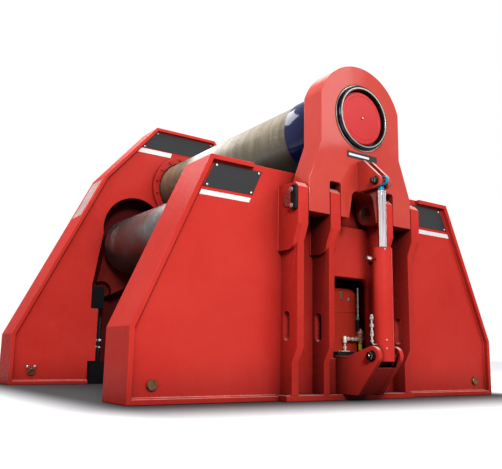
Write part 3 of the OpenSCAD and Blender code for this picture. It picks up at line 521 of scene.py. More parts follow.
def drawn(bm, outline, depth):
    """Draws a flat outline of points out along the vector depth."""
    swept(bm, [bm.faces.new([bm.verts.new(p) for p in outline])], depth)


def block(bm, corner, opposite):
    """A box between two corners in millimetres."""
    size = Vector(opposite) - Vector(corner)
    centre = Vector(corner) + size / 2
    bmesh.ops.create_cube(bm, size=MM, matrix=Matrix.Translation(centre * MM) @ Matrix.Diagonal((*size, 1)))


def piped(bm, points, radius, swell=None):
    """A pipe of one radius through points in millimetres. swell scales the radius at each point."""
    curve = bpy.data.curves.new("pipe", "CURVE")
    curve.dimensions = "3D"
    curve.bevel_depth = radius * MM
    curve.bevel_resolution = 2
    curve.use_fill_caps = True
    line = curve.splines.new("POLY")
    line.points.add(len(points) - 1)
    for i, point in enumerate(points):
        line.points[i].co = (*(Vector(point) * MM), 1)
        line.points[i].radius = swell[i] if swell else 1
    holder = bpy.data.objects.new("pipe", curve)
    mesh = bpy.data.meshes.new_from_object(holder)
    bm.from_mesh(mesh)
    bpy.data.objects.remove(holder)
    bpy.data.curves.remove(curve)
    bpy.data.meshes.remove(mesh)


def eased(points, bend):
    """The same path with each inner corner eased into a bend of about that radius."""
    points = [Vector(p) for p in points]
    path = [points[0]]
    for before, corner, after in zip(points, points[1:], points[2:]):
        enter = corner + (before - corner).normalized() * bend
        leave = corner + (after - corner).normalized() * bend
        path += interpolate_bezier(enter, enter.lerp(corner, 0.55), leave.lerp(corner, 0.55), leave, 7)
    return path + [points[-1]]


print("shaping helpers ready")

# %% [markdown]
# ## Finishing a piece
# Every piece ends the same way: doubles merged, normals outwards, an edge radius if it has one, smooth shading with
# its real corners kept sharp, then its finish and the body it moves with.

# %% Finishing helpers
def finished(bm, name, finish, body="root", edge=0.0, corner=32):
    """Makes the piece. edge is the radius of its ground or moulded edges in millimetres."""
    made = to_object(bm, name)
    if edge:
        rounding = made.modifiers.new("edge radius", "BEVEL")
        rounding.width = edge * MM
        rounding.segments = 2
        rounding.limit_method = "ANGLE"
        rounding.angle_limit = math.radians(corner)
        rounding.harden_normals = True
    made.data.shade_smooth()
    made.data.set_sharp_from_angle(angle=math.radians(corner))
    made.data.materials.append(finish)
    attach(made, body)
    return made


def report(*made):
    """Prints the size of what a cell has made."""
    for one in made:
        print(one.name, "faces:", len(one.data.polygons))


print("finishing helpers ready")

# %% [markdown]
# ## Softened plate edges
# Flame-cut plate is ground along its edges before it is painted, and that narrow rounding is what catches the light.
# The construction solids have sharp corners, so a merged copy of each main plate gets a Bevel modifier and stands
# in for the node. Hardened normals keep the flat faces flat.
# Three copies also have some corners moved: the window's sill is lower and its right edge further right, and the
# tilt barrel ends lower. The back plate of the far frame is flat dark red on the inside, as a second material: painted
# shade.

# %% Bevelled copies
def softened(node, finish, edge, shifts=()):
    """A copy of a construction node with rounded edges. Each shift moves the corners inside a range of (x, z)."""
    source = frame["nodes"][node]
    bm = bmesh.new()
    bm.from_mesh(source.data)
    bmesh.ops.remove_doubles(bm, verts=bm.verts, dist=0.02 * MM)
    bmesh.ops.dissolve_limit(bm, angle_limit=math.radians(0.5), verts=bm.verts, edges=bm.edges)
    for (x0, x1), (z0, z1), move in shifts:
        inside = [v for v in bm.verts if x0 < v.co.x / MM < x1 and z0 < v.co.z / MM < z1]
        bmesh.ops.translate(bm, verts=inside, vec=mm(*move))
        print(node, "corners shifted:", len(inside))
    made = finished(bm, node + "_soft", finish, source["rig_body"], edge)
    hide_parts(node)
    return made


def shade_inside(made):
    """Gives the faces that look towards the drop end a flat dark red: painted shade for the frame's inside."""
    made.data.materials.append(INSIDE_SHADE_RED)
    for face in made.data.polygons:
        if face.normal.y < -0.9:
            face.material_index = 1


EDGES = {
    "near_left_flange": 4, "near_right_flange": 4, "far_left_flange": 4, "far_right_flange": 4, "near_sole": 4,
    "rib_outer_left": 5, "rib_inner_left": 5, "rib_inner_right": 5, "rib_outer_right": 5,
    "yoke": 6, "yoke_lugs": 3, "tilt_bracket": 4, "far_inner_web": 3,
    "bed_left_beam": 9, "bed_right_beam": 9, "far_bearing": 5,
}
for node, edge in EDGES.items():
    report(softened(node, GLOSS_SHEEN_RED if node.startswith("yoke") else RED, edge))
BARREL_CUT = 16
SILL_DROP = ((-165, 165), (290, 310), (0, 0, -46))
RIGHT_EDGE = ((100, 165), (240, 780))
report(softened("centre_web", RED, 3, shifts=(SILL_DROP, (*RIGHT_EDGE, (25, 0, 0)))),
       softened("near_front_web", RED, 2, shifts=(SILL_DROP, (*RIGHT_EDGE, (65, 0, 0)))),
       softened("tilt_barrel", RED, 9, shifts=(((-90, 90), (930, 950), (0, 0, -BARREL_CUT)),)))
back_plate = softened("far_outer_web", RED, 2)
shade_inside(back_plate)
report(back_plate)
for node in ("near_left_arm", "far_left_arm", "near_right_arm", "far_right_arm"):
    report(softened(node, ARM_SHADE_RED, 5))
report(softened("hinge_pins", GROUND, 5), softened("pin_keeper", BLACK, 3),
       softened("lift_feet", BLACK, 3))

# %% [markdown]
# ## Places to work from
# A few planes and axes of the construction model come up again and again: the faces of the two frames, both sides
# of the yoke, the top roll's axis and the two pins of the tilt cylinder. Naming them once keeps the rest readable.

# %% Reference planes and axes
JOINTS = {joint["name"]: Vector(joint["pos_m"]) / MM for joint in frame["joints"] if "pos_m" in joint}
HINGE = JOINTS["yoke_tilt"]
FOOT_PIN = JOINTS["tilt_cylinder_swing"]
NEAR_BACK = high("near_left_flange").y
NEAR_WEB = low("near_front_web").y
FAR_WEB = low("far_inner_web").y
YOKE_FACE = low("yoke").y
YOKE_REAR = high("yoke").y
ROLL_Z = middle("yoke_bearing").z
LUG_RADIUS = 44
HEAD_PIN = Vector((0, middle("tilt_barrel").y, low("yoke_lugs").z + LUG_RADIUS))
# Corners of the frames' outlines: half the foot and its top edge, then where the slopes and the top edges meet
HALF_FOOT, FOOT_TOP = 1500, 400
NEAR_SIDE, NEAR_CORNER = 1047, 741
FAR_SIDE, FAR_SHOULDER, FAR_CORNER = 804, 1827, 320
print("hinge:", [round(v) for v in HINGE], "tilt pins:", [round(v) for v in FOOT_PIN], [round(v) for v in HEAD_PIN])

# %% [markdown]
# ## The four rolls
# A roll is one forging turned between centres: a barrel, a shoulder at each end and two journals.
# Spinning half its outline about the roll's axis is exactly how the lathe makes it.
# The top roll tapers into its drop-end journal, so that the yoke can swing off it.

# %% Rolls
def roll(node, journal, finish):
    """A roll from the box of its construction node, with shoulders beside the journals."""
    lo, hi = low(node), high(node)
    radius = (hi.x - lo.x) / 2
    begin, end = NEAR_BACK + 20, -NEAR_BACK - 20
    bm = bmesh.new()
    spun(bm, mm((lo.x + hi.x) / 2, 0, (lo.z + hi.z) / 2), Y, [
        (0, lo.y), (journal - 8, lo.y), (journal, lo.y + 8), (journal, begin - 10), (journal + 40, begin - 10),
        (journal + 40, begin), (radius - 9, begin), (radius - 3, begin + 3), (radius, begin + 9),
        (radius, end - 9), (radius - 3, end - 3), (radius - 9, end), (journal + 40, end),
        (journal + 40, end + 10), (journal, end + 10), (journal, hi.y - 8), (journal - 8, hi.y), (0, hi.y)], 128)
    made = finished(bm, node + "_turned", finish, frame["nodes"][node]["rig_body"])
    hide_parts(node)
    return made


report(roll("left_roll", 110, SIDE_ROLL), roll("right_roll", 110, SIDE_ROLL), roll("bottom_roll", 95, SIDE_ROLL))

collar_in, collar_out = low("roll_collar").y, high("roll_collar").y
bm = bmesh.new()
spun(bm, mm(0, 0, ROLL_Z), Y, [
    (0, low("top_roll").y), (124, low("top_roll").y), (131, low("top_roll").y + 6), (164.6, YOKE_REAR),
    (165, collar_in), (200, collar_in), (200, collar_out), (249, collar_out), (255, collar_out + 2),
    (258, collar_out + 8), (258, -NEAR_BACK + 12), (252, -NEAR_BACK + 18), (170, -NEAR_BACK + 18),
    (170, high("top_roll").y), (0, high("top_roll").y)], 128)
top = finished(bm, "top_roll_turned", ROLL, "top_roll")
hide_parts("top_roll")
report(top)

# %% [markdown]
# ## The blue collar
# The bending edge at the drop end is covered by a painted sleeve. It stands 8 mm proud of the roll, with
# generous radii at both rims that give it a bright line of light.

# %% Collar
bm = bmesh.new()
spun(bm, mm(0, 0, ROLL_Z), Y, [
    (200, collar_in), (250, collar_in), (257, collar_in + 2), (263, collar_in + 7), (266, collar_in + 16),
    (266, collar_out - 12), (264, collar_out - 5), (259, collar_out - 1), (254, collar_out), (200, collar_out)], 128)
collar = finished(bm, "roll_collar_turned", NAVY, "top_roll")
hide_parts("roll_collar")
report(collar)

# %% [markdown]
# ## The bearing in the yoke
# The bearing's housing stands out of the yoke as a short near-black sleeve, a painted dark reflection, with a faced
# rim, and the painted cover sits back inside it, with a plugged grease hole in the middle. Each is one spun profile.
# Behind them the bush is bored to the journal's taper. It shows when the yoke is open.

# %% Bearing
AXIS = mm(0, 0, ROLL_Z)
RIM = YOKE_FACE - 26
bm = bmesh.new()
spun(bm, AXIS, Y, [
    (165.6, YOKE_REAR - 2), (168, YOKE_REAR), (221, YOKE_REAR), (221, YOKE_FACE - 4), (219, RIM + 9),
    (215, RIM + 3), (209, RIM + 1), (193, RIM + 1), (190, RIM + 5), (188, YOKE_FACE + 12), (0, YOKE_FACE + 12),
    (0, YOKE_FACE + 37), (129.6, YOKE_FACE + 37), (165.6, YOKE_REAR - 2)], 128)
sleeve = finished(bm, "bearing_sleeve_turned", DARK_MIRROR_STEEL, "yoke", corner=50)
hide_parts("yoke_bearing")
bm = bmesh.new()
spun(bm, AXIS, Y, [(221, YOKE_FACE + 1), (227, YOKE_FACE + 1), (227, YOKE_FACE - 1), (225, YOKE_FACE - 3),
                   (221, YOKE_FACE - 3), (221, YOKE_FACE + 1)], 128)
spun(bm, AXIS, Y, [(205, RIM + 2), (205, RIM), (204, RIM - 2), (198, RIM - 2), (196, RIM), (196, RIM + 2),
                   (205, RIM + 2)], 128)
rims = finished(bm, "bearing_rims", FACED, "yoke")
bm = bmesh.new()
spun(bm, AXIS, Y, [
    (0, YOKE_FACE + 13), (0, YOKE_FACE + 1), (8, YOKE_FACE + 1), (10, YOKE_FACE - 6), (148, YOKE_FACE - 6),
    (150, YOKE_FACE - 4), (153, YOKE_FACE - 4), (155, YOKE_FACE - 6), (172, YOKE_FACE - 6), (178, YOKE_FACE - 2),
    (178, YOKE_FACE + 13), (0, YOKE_FACE + 13)], 128)
cover = finished(bm, "bearing_cover_turned", CRIMSON, "yoke")
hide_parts("yoke_cover")
bm = bmesh.new()
spun(bm, AXIS + mm(0, YOKE_FACE + 1, 0), -Y, [(0, 0), (8, 0), (8, 10), (6, 13), (0, 13)], 6)
report(sleeve, rims, cover, finished(bm, "grease_plug", ZINC, "yoke"))

# %% [markdown]
# ## Rod, eye and barrel
# The rod is ground and hard chromed; its cast eye is painted blue and holds the yoke's upper pin.
# The eye has a slot, which takes up the little sideways travel that a straight cylinder cannot follow.
# A circle of edges that is pulled apart in the middle makes a slot, so the eye is two such loops, bridged and drawn
# to its thickness. A wiper seal closes the barrel.

# %% Rod and eye
def obround(bm, matrix, radius, reach, filled=False):
    """A circle of edges pulled apart by reach millimetres each way, placed by matrix."""
    turn = Matrix.Rotation(math.pi / 48, 4, "Z")
    verts = bmesh.ops.create_circle(bm, cap_ends=filled, radius=radius * MM, segments=48, matrix=turn)["verts"]
    for vert in verts:
        vert.co.x += math.copysign(reach * MM, vert.co.x)
    bmesh.ops.transform(bm, matrix=matrix, verts=verts)
    return verts


lo = low("tilt_rod")
neck = HEAD_PIN.z - 58
bm = bmesh.new()
spun(bm, mm(0, HEAD_PIN.y, 0), Z, [(0, lo.z), (26, lo.z), (29, lo.z + 4), (29, neck - 3), (26, neck), (0, neck)], 64)
rod = finished(bm, "tilt_rod_chromed", CHROME, "tilt_rod")
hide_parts("tilt_rod")

EYE_RADIUS, EYE_HOLE, EYE_REACH, EYE_THICK = 29, 23.6, 22, 22
bm = bmesh.new()
across_x = Matrix((-Y, Z, -X)).transposed().to_4x4()
seat = Matrix.Translation(mm(-17, lo.y + 52, HEAD_PIN.z)) @ across_x
obround(bm, seat, EYE_RADIUS, EYE_REACH)
obround(bm, seat, EYE_HOLE, EYE_REACH)
swept(bm, bmesh.ops.bridge_loops(bm, edges=bm.edges)["faces"], mm(EYE_THICK, 0, 0))
spun(bm, mm(0, HEAD_PIN.y, neck - 0.5), Z, [(0, 0), (19, 0), (20, 1), (20, 20), (16, 30), (0, 30)], 32)
eye = finished(bm, "tilt_rod_eye", CYAN, "tilt_rod", 3)

bm = bmesh.new()
barrel_top = high("tilt_barrel").z - BARREL_CUT
spun(bm, mm(0, HEAD_PIN.y, barrel_top), Z, [(29.3, -8), (44, -8), (44, 1), (41, 4), (33, 4), (29.3, 8), (29.3, -8)], 48)
report(rod, eye, finished(bm, "rod_wiper_seal", RUBBER, "tilt_barrel"))

# %% [markdown]
# ## Bolts and nuts
# A hex bolt is drawn from its thread size, as the standard does it: washer, head across six corners, small chamfer.
# Spinning a profile in six steps instead of many gives the hexagon, and the same trick makes nuts.

# %% Bolt helpers
def bolt(bm, place, axis, size):
    """A hex head on its washer for a thread of size millimetres, seated at place."""
    spun(bm, place, axis, [(0, 0), (size, 0), (size, 0.16 * size), (0, 0.16 * size)], 20)
    spun(bm, place, axis, [(0, 0.16 * size), (0.87 * size, 0.16 * size), (0.87 * size, 0.74 * size),
                           (0.76 * size, 0.8 * size), (0, 0.8 * size)], 6)


def pin_nut(bm, place, axis, radius):
    """A slotted nut with its washer on the end of a pin, and the pin's chamfered end standing out of it."""
    spun(bm, place, axis, [(0, 0), (1.75 * radius, 0), (1.75 * radius, 5), (0, 5)], 28)
    spun(bm, place, axis, [(0, 5), (1.45 * radius, 5), (1.5 * radius, 8), (1.5 * radius, 24),
                           (1.32 * radius, 27), (0, 27)], 6)
    spun(bm, place, axis, [(0, 27), (0.8 * radius, 27), (0.8 * radius, 34), (0.62 * radius, 39), (0, 39)], 20)


bm = bmesh.new()
cheek = high("tilt_bracket").x - 16
lug = high("yoke_lugs").x - 10
for side in (-1, 1):
    pin_nut(bm, mm(side * cheek, FOOT_PIN.y, FOOT_PIN.z), X * side, 18.5)
report(finished(bm, "foot_pin_nuts", OXIDE, "root"))
bm = bmesh.new()
for side in (-1, 1):
    pin_nut(bm, mm(side * lug, HEAD_PIN.y, HEAD_PIN.z), X * side, 16)
report(finished(bm, "lug_pin_nuts", OXIDE, "yoke"))

# %% [markdown]
# ## Keeper bolts and barrel plugs
# Two bolts hold the keeper that stops the left hinge pin from walking out.
# The barrel carries two bleed plugs low down and one near its top, on the side that a fitter can reach.

# %% Keeper bolts and plugs
bm = bmesh.new()
for up in (-50, 50):
    bolt(bm, mm(low("pin_keeper").x, HINGE.y - 46, HINGE.z + up), -X, 15)
report(finished(bm, "keeper_bolts", ZINC, "root"))

bm = bmesh.new()
barrel_r = (high("tilt_barrel").x - low("tilt_barrel").x) / 2
outward = Vector((-0.52, -0.85, 0)).normalized()
for height in (365, 316, barrel_top - 12):
    seat = mm(0, HEAD_PIN.y, height) + outward * (barrel_r - 2) * MM
    spun(bm, seat, outward, [(0, 0), (5, 0), (5, 4), (4, 5), (0, 5)], 6)
report(finished(bm, "barrel_bleed_plugs", ZINC, "tilt_barrel"))

# %% [markdown]
# ## The barrel's ports
# Oil enters the barrel low down, through a stack of unions that stands up beside it, and leaves by a port near its
# top. Union nuts are six-sided and of different sizes, so each is one short profile spun in six steps, and the
# stack is a list of heights, radii and lengths. The upper port's neck is in the arms' dark red, a painted shade, up to
# its bright nut.

# %% Barrel unions
UNIONS = ((352, 11, 12), (384, 12, 20), (404, 10, 14), (436, 12, 22), (482, 12, 20), (502, 9, 12))
LOW_PORT, HIGH_PORT = 338, 851
bm = bmesh.new()
pipe_x = -barrel_r - 42
piped(bm, eased([(-barrel_r + 4, FOOT_PIN.y, LOW_PORT), (pipe_x, FOOT_PIN.y, LOW_PORT),
                 (pipe_x, FOOT_PIN.y, 505)], 18), 6)
for height, thick, length in UNIONS:
    spun(bm, mm(pipe_x, FOOT_PIN.y, height), Z, [(0, 0), (thick - 2, 0), (thick, 2), (thick, length - 2),
                                                 (thick - 2, length), (0, length)], 6)
spun(bm, mm(-barrel_r - 36, HEAD_PIN.y, HIGH_PORT), -X, [(0, 0), (10, 0), (12, 3), (12, 34), (10, 38), (0, 38)], 6)
unions = finished(bm, "barrel_port_unions", ZINC, "tilt_barrel")
bm = bmesh.new()
piped(bm, [(-barrel_r + 4, HEAD_PIN.y, HIGH_PORT), (-barrel_r - 40, HEAD_PIN.y, HIGH_PORT)], 6)
report(unions, finished(bm, "barrel_port_neck", ARM_SHADE_RED, "tilt_barrel"))

# %% [markdown]
# ## Blank nameplates
# Each frame carries a dark plate under its top edge, cut to the slope beside it, with a white stripe below.
# They stay blank here. A plate is one outline drawn out by 3 mm and held by round-headed screws.

# %% Nameplates and stripes
def plate(name, web, outline, thick, finish, body="root", slot="black_enamel"):
    """A thin plate on the face at y = web, from an outline of (x, z) points in millimetres."""
    bm = bmesh.new()
    drawn(bm, [mm(x, web, z) for x, z in outline], mm(0, -thick, 0))
    return finished(bm, name, finish, body, 0.8)


near_plate = [(-1078, 1215), (-1003, 1371), (-664, 1371), (-733, 1215)]
near_stripe = [(-1102, 1165), (-1088, 1195), (-742, 1195), (-756, 1165)]
far_plate = [(-452, 2175), (-306, 2348), (306, 2348), (452, 2175)]
far_stripe = [(-498, 2121), (-460, 2166), (-140, 2166), (-150, 2121)]


def other_side(outline):
    """The same outline on the right of the machine."""
    return [(-x, z) for x, z in outline]


report(plate("near_left_nameplate", NEAR_WEB, near_plate, 3, PLATE),
       plate("near_right_nameplate", NEAR_WEB, other_side(near_plate), 3, PLATE),
       plate("far_nameplate", FAR_WEB, far_plate, 3, PLATE),
       plate("near_left_stripe", NEAR_WEB, near_stripe, 1, VINYL),
       plate("near_right_stripe", NEAR_WEB, other_side(near_stripe), 1, VINYL),
       plate("far_left_stripe", FAR_WEB, far_stripe, 1, VINYL),
       plate("far_right_stripe", FAR_WEB, other_side(far_stripe), 1, VINYL))

# %% [markdown]
# ## The worn sheet
# An old blank sheet of film sticks to the far frame's left slope; its pale pink is partly a painted reflection. Its
# four corners are measured up the slope from the slope's lower end, and it is drawn out by its thickness at a right
# angle to the slope.

# %% Worn sheet on the slope
slope = Vector((FAR_SIDE - HALF_FOOT, 0, FAR_SHOULDER - FOOT_TOP)).normalized()
slope.x = -slope.x
outward = Vector((-slope.z, 0, slope.x))
lower_end = Vector((-HALF_FOOT, 0, FOOT_TOP))
sheet = [(lower_end + Y * y + slope * d) * MM for y, d in ((1010, 1160), (1225, 1160), (1225, 1550), (1010, 1550))]
bm = bmesh.new()
drawn(bm, sheet, outward * 1.2 * MM)
report(finished(bm, "worn_slope_sheet", PALE_VINYL_REFLECTION))

# %% [markdown]
# ## Screws and label
# Round-headed screws hold each nameplate at its corners. The yoke's small label is blank too: a dark plate with a
# white bar, glued on without screws.

# %% Screws and yoke label
bm = bmesh.new()
HEAD = [(0, 0), (8, 0), (7.5, 2.5), (5, 4.5), (0, 5.2)]
for side in (-1, 1):
    for x, z in ((-990, 1357), (-686, 1357), (-1052, 1229), (-742, 1229)):
        spun(bm, mm(-side * x, NEAR_WEB - 3, z), -Y, HEAD, 14)
    for x, z in ((-296, 2336), (-426, 2187)):
        spun(bm, mm(-side * x, FAR_WEB - 3, z), -Y, HEAD, 14)
label = [(-135, 1527), (-135, 1572), (135, 1572), (135, 1527)]
report(finished(bm, "nameplate_screws", ZINC),
       plate("yoke_label", YOKE_FACE, label, 1.2, PLATE, "yoke"),
       plate("yoke_label_bar", YOKE_FACE - 1.2, [(-118, 1542), (-118, 1557), (62, 1557), (62, 1542)], 0.6,
             VINYL, "yoke"))

# %% [markdown]
# ## Lifting bosses
# Short bronze plugs close the bosses near the feet, and the far ones have two small bolts above them.
# A plug is turned, so one profile, with its chamfer, its groove and the dimple in its middle, serves all four.

# %% Bosses
bm = bmesh.new()
BOSS = [(0, 0), (29, 0), (29, 9), (26, 12), (19, 12), (17, 9), (6, 9), (4, 11), (0, 11)]
spun(bm, mm(-1348, NEAR_WEB, 99), -Y, BOSS, 40)
spun(bm, mm(1337, NEAR_WEB, 102), -Y, BOSS, 40)
spun(bm, mm(-1318, FAR_WEB, 100), -Y, BOSS, 40)
spun(bm, mm(1318, FAR_WEB, 100), -Y, BOSS, 40)
bosses = finished(bm, "boss_plugs", BRONZE)
bm = bmesh.new()
for side in (-1, 1):
    for shift in (-28, 28):
        bolt(bm, mm(side * 1318 + shift, FAR_WEB, 140), -Y, 15)
report(bosses, finished(bm, "boss_bolts", ZINC))

# %% [markdown]
# ## The valve behind the window
# A brass relief valve hangs on a steel pipe behind the window of the centre web.
# A short line of nickel-plated unions leads from it to an elbow, and down to a foot on a black block.
# Straight pipes are curves through two points, and every union is a small profile spun in six steps.

# %% Pipes of the valve
DRAIN_Z = 379
back = low("valve_panel").y
pipe_y = back - 28
bm = bmesh.new()
piped(bm, [(189, pipe_y, 522), (189, pipe_y, 722)], 9)
grey_pipe = finished(bm, "valve_feed_pipe", GROUND)
bm = bmesh.new()
spun(bm, mm(189, pipe_y, 508), Z, [(0, 0), (12, 0), (12, 16), (0, 16)], 20)
green_ring = finished(bm, "valve_feed_ring", GREEN, edge=1.5)
bm = bmesh.new()
piped(bm, [(189, pipe_y, 440), (189, pipe_y, 510)], 11)
black_joint = finished(bm, "valve_feed_joint", RUBBER)
bm = bmesh.new()
piped(bm, [(200, pipe_y, DRAIN_Z), (70, pipe_y, DRAIN_Z)], 8)
for reach in (92, 132, 168):
    spun(bm, mm(reach, pipe_y, DRAIN_Z), X, [(0, 0), (12, 0), (13.5, 2), (13.5, 13), (12, 15), (0, 15)], 6)
spun(bm, mm(70, pipe_y, 352), Z, [(0, 0), (12, 0), (14, 3), (14, 40), (11, 45), (0, 45)], 16)
piped(bm, [(70, pipe_y, 300), (70, pipe_y, 356)], 7)
spun(bm, mm(70, pipe_y, 316), Z, [(0, 0), (12, 0), (12, 14), (0, 14)], 6)
report(grey_pipe, green_ring, black_joint, finished(bm, "valve_drain_line", NICKEL))

# %% [markdown]
# ## The relief valve
# The valve's body is one turned casting with collars, crossed by a square block and a side plug, and a yellow cap
# below it. It replaces the plain stand-in of the construction model. The black block under the drain line is a box
# with rounded edges, and the line's foot is a small flat one.

# %% Valve body
bm = bmesh.new()
spun(bm, mm(212, pipe_y, 352), Z, [(0, 0), (14, 0), (14, 12), (22, 16), (22, 34), (18, 38), (18, 58), (24, 62),
                                   (24, 80), (16, 86), (13, 98), (0, 98)], 24)
block(bm, (190, pipe_y - 17, 372), (234, pipe_y + 17, 404))
spun(bm, mm(232, pipe_y, 392), X, [(0, 0), (11, 0), (11, 14), (8, 20), (0, 20)], 6)
valve = finished(bm, "relief_valve_body", ROSE_BRASS, edge=2)
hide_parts("valve_fittings")
bm = bmesh.new()
spun(bm, mm(210, pipe_y, 306), Z, [(0, 0), (10, 0), (13, 3), (14, 38), (12, 44), (0, 44)], 20)
cap = finished(bm, "relief_valve_cap", YELLOW, edge=1.5)
bm = bmesh.new()
block(bm, (-8, pipe_y - 20, 150), (137, back, 296))
base = finished(bm, "drain_block", BLACK, edge=4)
bm = bmesh.new()
block(bm, (34, pipe_y - 18, 296), (98, pipe_y + 18, 303))
foot = finished(bm, "drain_foot", NICKEL, edge=1.5)
report(valve, cap, base, foot)

# %% [markdown]
# ## Details of the valve panel
# The painted panel behind the valve is in two sheets, so it shows a seam, and it carries an oval tag and one bolt.
# The tag is the same pulled-apart circle as the rod's eye, this time filled, and drawn out by its thickness.

# %% Valve panel details
bm = bmesh.new()
upright = Matrix((Z, X, -Y)).transposed().to_4x4()
obround(bm, Matrix.Translation(mm(68, back, 667)) @ upright, 9, 19, True)
swept(bm, list(bm.faces), mm(0, -6, 0))
tag = finished(bm, "panel_tag", GROUND, edge=1)
bm = bmesh.new()
bolt(bm, mm(137, back, 643), -Y, 11)
bolts = finished(bm, "panel_bolt", ZINC)
bm = bmesh.new()
block(bm, (-150, back - 4, 556), (190, back, 564))
report(tag, bolts, finished(bm, "panel_seam", RED, edge=1))

# %% [markdown]
# ## The drive end
# The far bearing's flange is bolted round the top roll. The bolts stand at equal angles on one circle, so a loop
# turns the angle and reads each place from its sine and cosine. They were painted over with the frame.

# %% Flange bolts
BOLT_CIRCLE, FLANGE_BOLTS = 298, 16
bm = bmesh.new()
ring_face = low("far_bearing").y
for i in range(FLANGE_BOLTS):
    angle = math.tau * (i + 0.5) / FLANGE_BOLTS
    bolt(bm, mm(BOLT_CIRCLE * math.cos(angle), ring_face, ROLL_Z + BOLT_CIRCLE * math.sin(angle)), -Y, 15)
report(finished(bm, "far_flange_bolts", RED))

# %% [markdown]
# ## Gearboxes and motors
# Behind the far frame stand two planetary gearboxes, each with two rings of bolts, cooling ribs, and a black
# hydraulic motor at the back with two ports. Both are turned shapes, so one function spins them from the box
# of their construction nodes, and the ribs are steps in the profile.

# %% Gearboxes and motors
def gearbox(node, bolts):
    """A turned gearbox and its motor, from the box of its construction node."""
    lo, hi = low(node), high(node)
    y0, length, full = lo.y, hi.y - lo.y, (hi.x - lo.x) / 2
    r = full - 40
    place = mm(0, y0, (lo.z + hi.z) / 2)
    bm = bmesh.new()
    spun(bm, place, Y, [
        (0, 0), (full - 3, 0), (full, 3), (full, 30), (full - 4, 34), (r, 34), (r - 4, 40), (r - 4, 60), (r, 64),
        (r, 84), (r - 5, 88), (r - 5, 104), (r, 108), (r, 0.4 * length), (r + 14, 0.42 * length),
        (r + 18, 0.44 * length), (r + 18, 0.5 * length - 3), (r + 14, 0.5 * length), (r * 0.84, 0.5 * length),
        (r * 0.82, 0.5 * length + 6), (r * 0.82, 0.72 * length), (r * 0.76, 0.74 * length), (0, 0.74 * length)], 96)
    box = finished(bm, node + "_gearbox", RED)
    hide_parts(node)
    bm = bmesh.new()
    m = r * 0.45
    spun(bm, place, Y, [(0, 0.73 * length), (m + 10, 0.73 * length), (m + 10, 0.78 * length), (m, 0.79 * length),
                        (m, length - 12), (m - 10, length), (0, length)], 48)
    for side in (-1, 1):
        spun(bm, place + mm(side * (m - 12), 0.88 * length, 0), X * side, [(0, 0), (24, 0), (24, 30), (20, 34),
                                                                          (0, 34)], 24)
    motor = finished(bm, node + "_motor", BLACK, edge=2)
    bm = bmesh.new()
    for i in range(bolts):
        angle = math.tau * (i + 0.5) / bolts
        around = Vector((math.cos(angle), 0, math.sin(angle)))
        bolt(bm, place + (around * (full - 20) + Y * 34) * MM, Y, 17)
        bolt(bm, place + (around * (r + 4) + Y * 0.5 * length) * MM, Y, 8)
    report(box, motor, finished(bm, node + "_bolts", ZINC))


gearbox("top_drive", 16)
gearbox("bottom_drive", 12)

# %% [markdown]
# ## Lift cylinders
# Four black cylinders push the side rolls up. Each has two bright clamp rings, a pipe that runs up its side to the
# upper port, a chromed rod and a black guard plate beside its fork. The chrome is a thin sleeve over the
# construction model's rod, less than a tenth of a millimetre thick, so that it slides in the barrel's bore.

# %% Lift cylinders
SLEEVE_R = 25.08


def lift_set(side, word):
    """The clamps, pipes, guards and rods of the two cylinders on one side."""
    barrels, rods = word + "_lift_barrels", word + "_lift_rods"
    x = middle(barrels).x
    top, half = high(barrels).z, 50
    barrel_body, rod_body = frame["nodes"][barrels]["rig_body"], frame["nodes"][rods]["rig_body"]
    clamps, sleeves, guards = bmesh.new(), bmesh.new(), bmesh.new()
    for y in (low(barrels).y + half, high(barrels).y - half):
        place = mm(x, y, 0)
        for height in (top - 214, top - 272):
            spun(clamps, place, Z, [(half, height), (half + 6, height), (half + 7, height + 3), (half + 7, height + 19),
                                    (half + 6, height + 22), (half, height + 22), (half, height)], 40)
            bolt(clamps, place + mm(side * 20, -half - 5, height + 11), -Y, 11)
        piped(clamps, eased([(x + side * (half - 3), y, 232), (x + side * (half + 17), y, 232),
                             (x + side * (half + 17), y, top - 60), (x + side * (half - 3), y, top - 60)], 12), 6)
        block(guards, (x + side * 98, y - 60, 640), (x - side * 36, y - 43, 836))
        spun(sleeves, place, Z, [(SLEEVE_R, low(rods).z + 2), (SLEEVE_R, top - 2)], 96)
    softened(barrels, BLACK, 4)
    softened(rods, BLACK, 3)
    report(finished(clamps, word + "_lift_clamps", ZINC, barrel_body),
           finished(guards, word + "_lift_guards", BLACK, rod_body, 5),
           finished(sleeves, word + "_lift_chrome", CHROME, rod_body))


lift_set(-1, "left")
lift_set(1, "right")

# %% [markdown]
# ## Weld seams
# The frames are boxes of plate, so every inner corner has a painted fillet weld. A bead is a thin pipe along
# the corner whose radius swells a little every few millimetres, as the welder's hand moves.
# Real ripples are about 2 mm apart; they are drawn 14 mm apart so that they show and stay light.

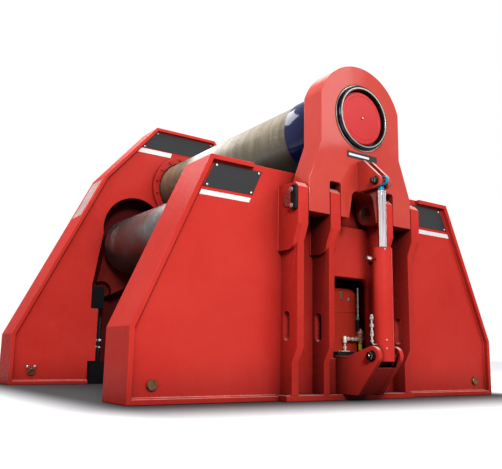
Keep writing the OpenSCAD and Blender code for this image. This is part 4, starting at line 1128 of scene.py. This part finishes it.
# %% Weld beads
def bead(bm, start_mm, end_mm, leg=8.0, pitch=14.0):
    """A fillet bead between two points in millimetres, thicker at every second point."""
    start_mm, end_mm = Vector(start_mm), Vector(end_mm)
    count = max(2, round((end_mm - start_mm).length / pitch))
    points = [start_mm.lerp(end_mm, i / count) for i in range(count + 1)]
    piped(bm, points, leg, [1.0 if i % 2 else 0.84 for i in range(count + 1)])


PLATE_T = 30
inner = PLATE_T + 1
near_top, far_top = high("near_left_flange").z, 2385
bm = bmesh.new()
for side in (-1, 1):
    near = [(540, inner), (HALF_FOOT - inner, inner), (HALF_FOOT - inner, FOOT_TOP - 6),
            (NEAR_SIDE - 24, near_top - inner), (NEAR_CORNER, near_top - inner)]
    far = [(852, inner), (HALF_FOOT - inner, inner), (HALF_FOOT - inner, FOOT_TOP - 6),
           (FAR_SIDE - 28, FAR_SHOULDER - 8), (FAR_CORNER - 14, far_top - inner), (0, far_top - inner)]
    for corners, web in ((near, NEAR_WEB), (far, FAR_WEB)):
        for (x0, z0), (x1, z1) in zip(corners, corners[1:]):
            bead(bm, (side * x0, web, z0), (side * x1, web, z1))
for node in ("rib_outer_left", "rib_inner_left", "rib_inner_right", "rib_outer_right"):
    lo, hi = low(node), high(node)
    for x in (lo.x, hi.x):
        bead(bm, (x, NEAR_WEB - 1, 895), (x, NEAR_WEB - 1, hi.z - 4), 7)
    for x in (middle(node).x - 21, middle(node).x + 21):
        bead(bm, (x, middle(node).y, high("near_sole").z), (x, low(node).y + 92, high("near_sole").z), 6)
report(finished(bm, "frame_weld_beads", RED, corner=60))

bm = bmesh.new()
for x in (-49, -25, 25, 49):
    bead(bm, (x, YOKE_FACE, low("yoke_lugs").z + 12), (x, YOKE_FACE, high("yoke_lugs").z - 2), 5)
report(finished(bm, "lug_weld_beads", RED, "yoke", corner=60))

# %% [markdown]
# ## Closing the book
# The box of the dressed machine has to stay inside the box of the construction model. The Standard view
# transform shows each colour as it was chosen.

# %% View transform
scene.view_settings.view_transform = "Standard"
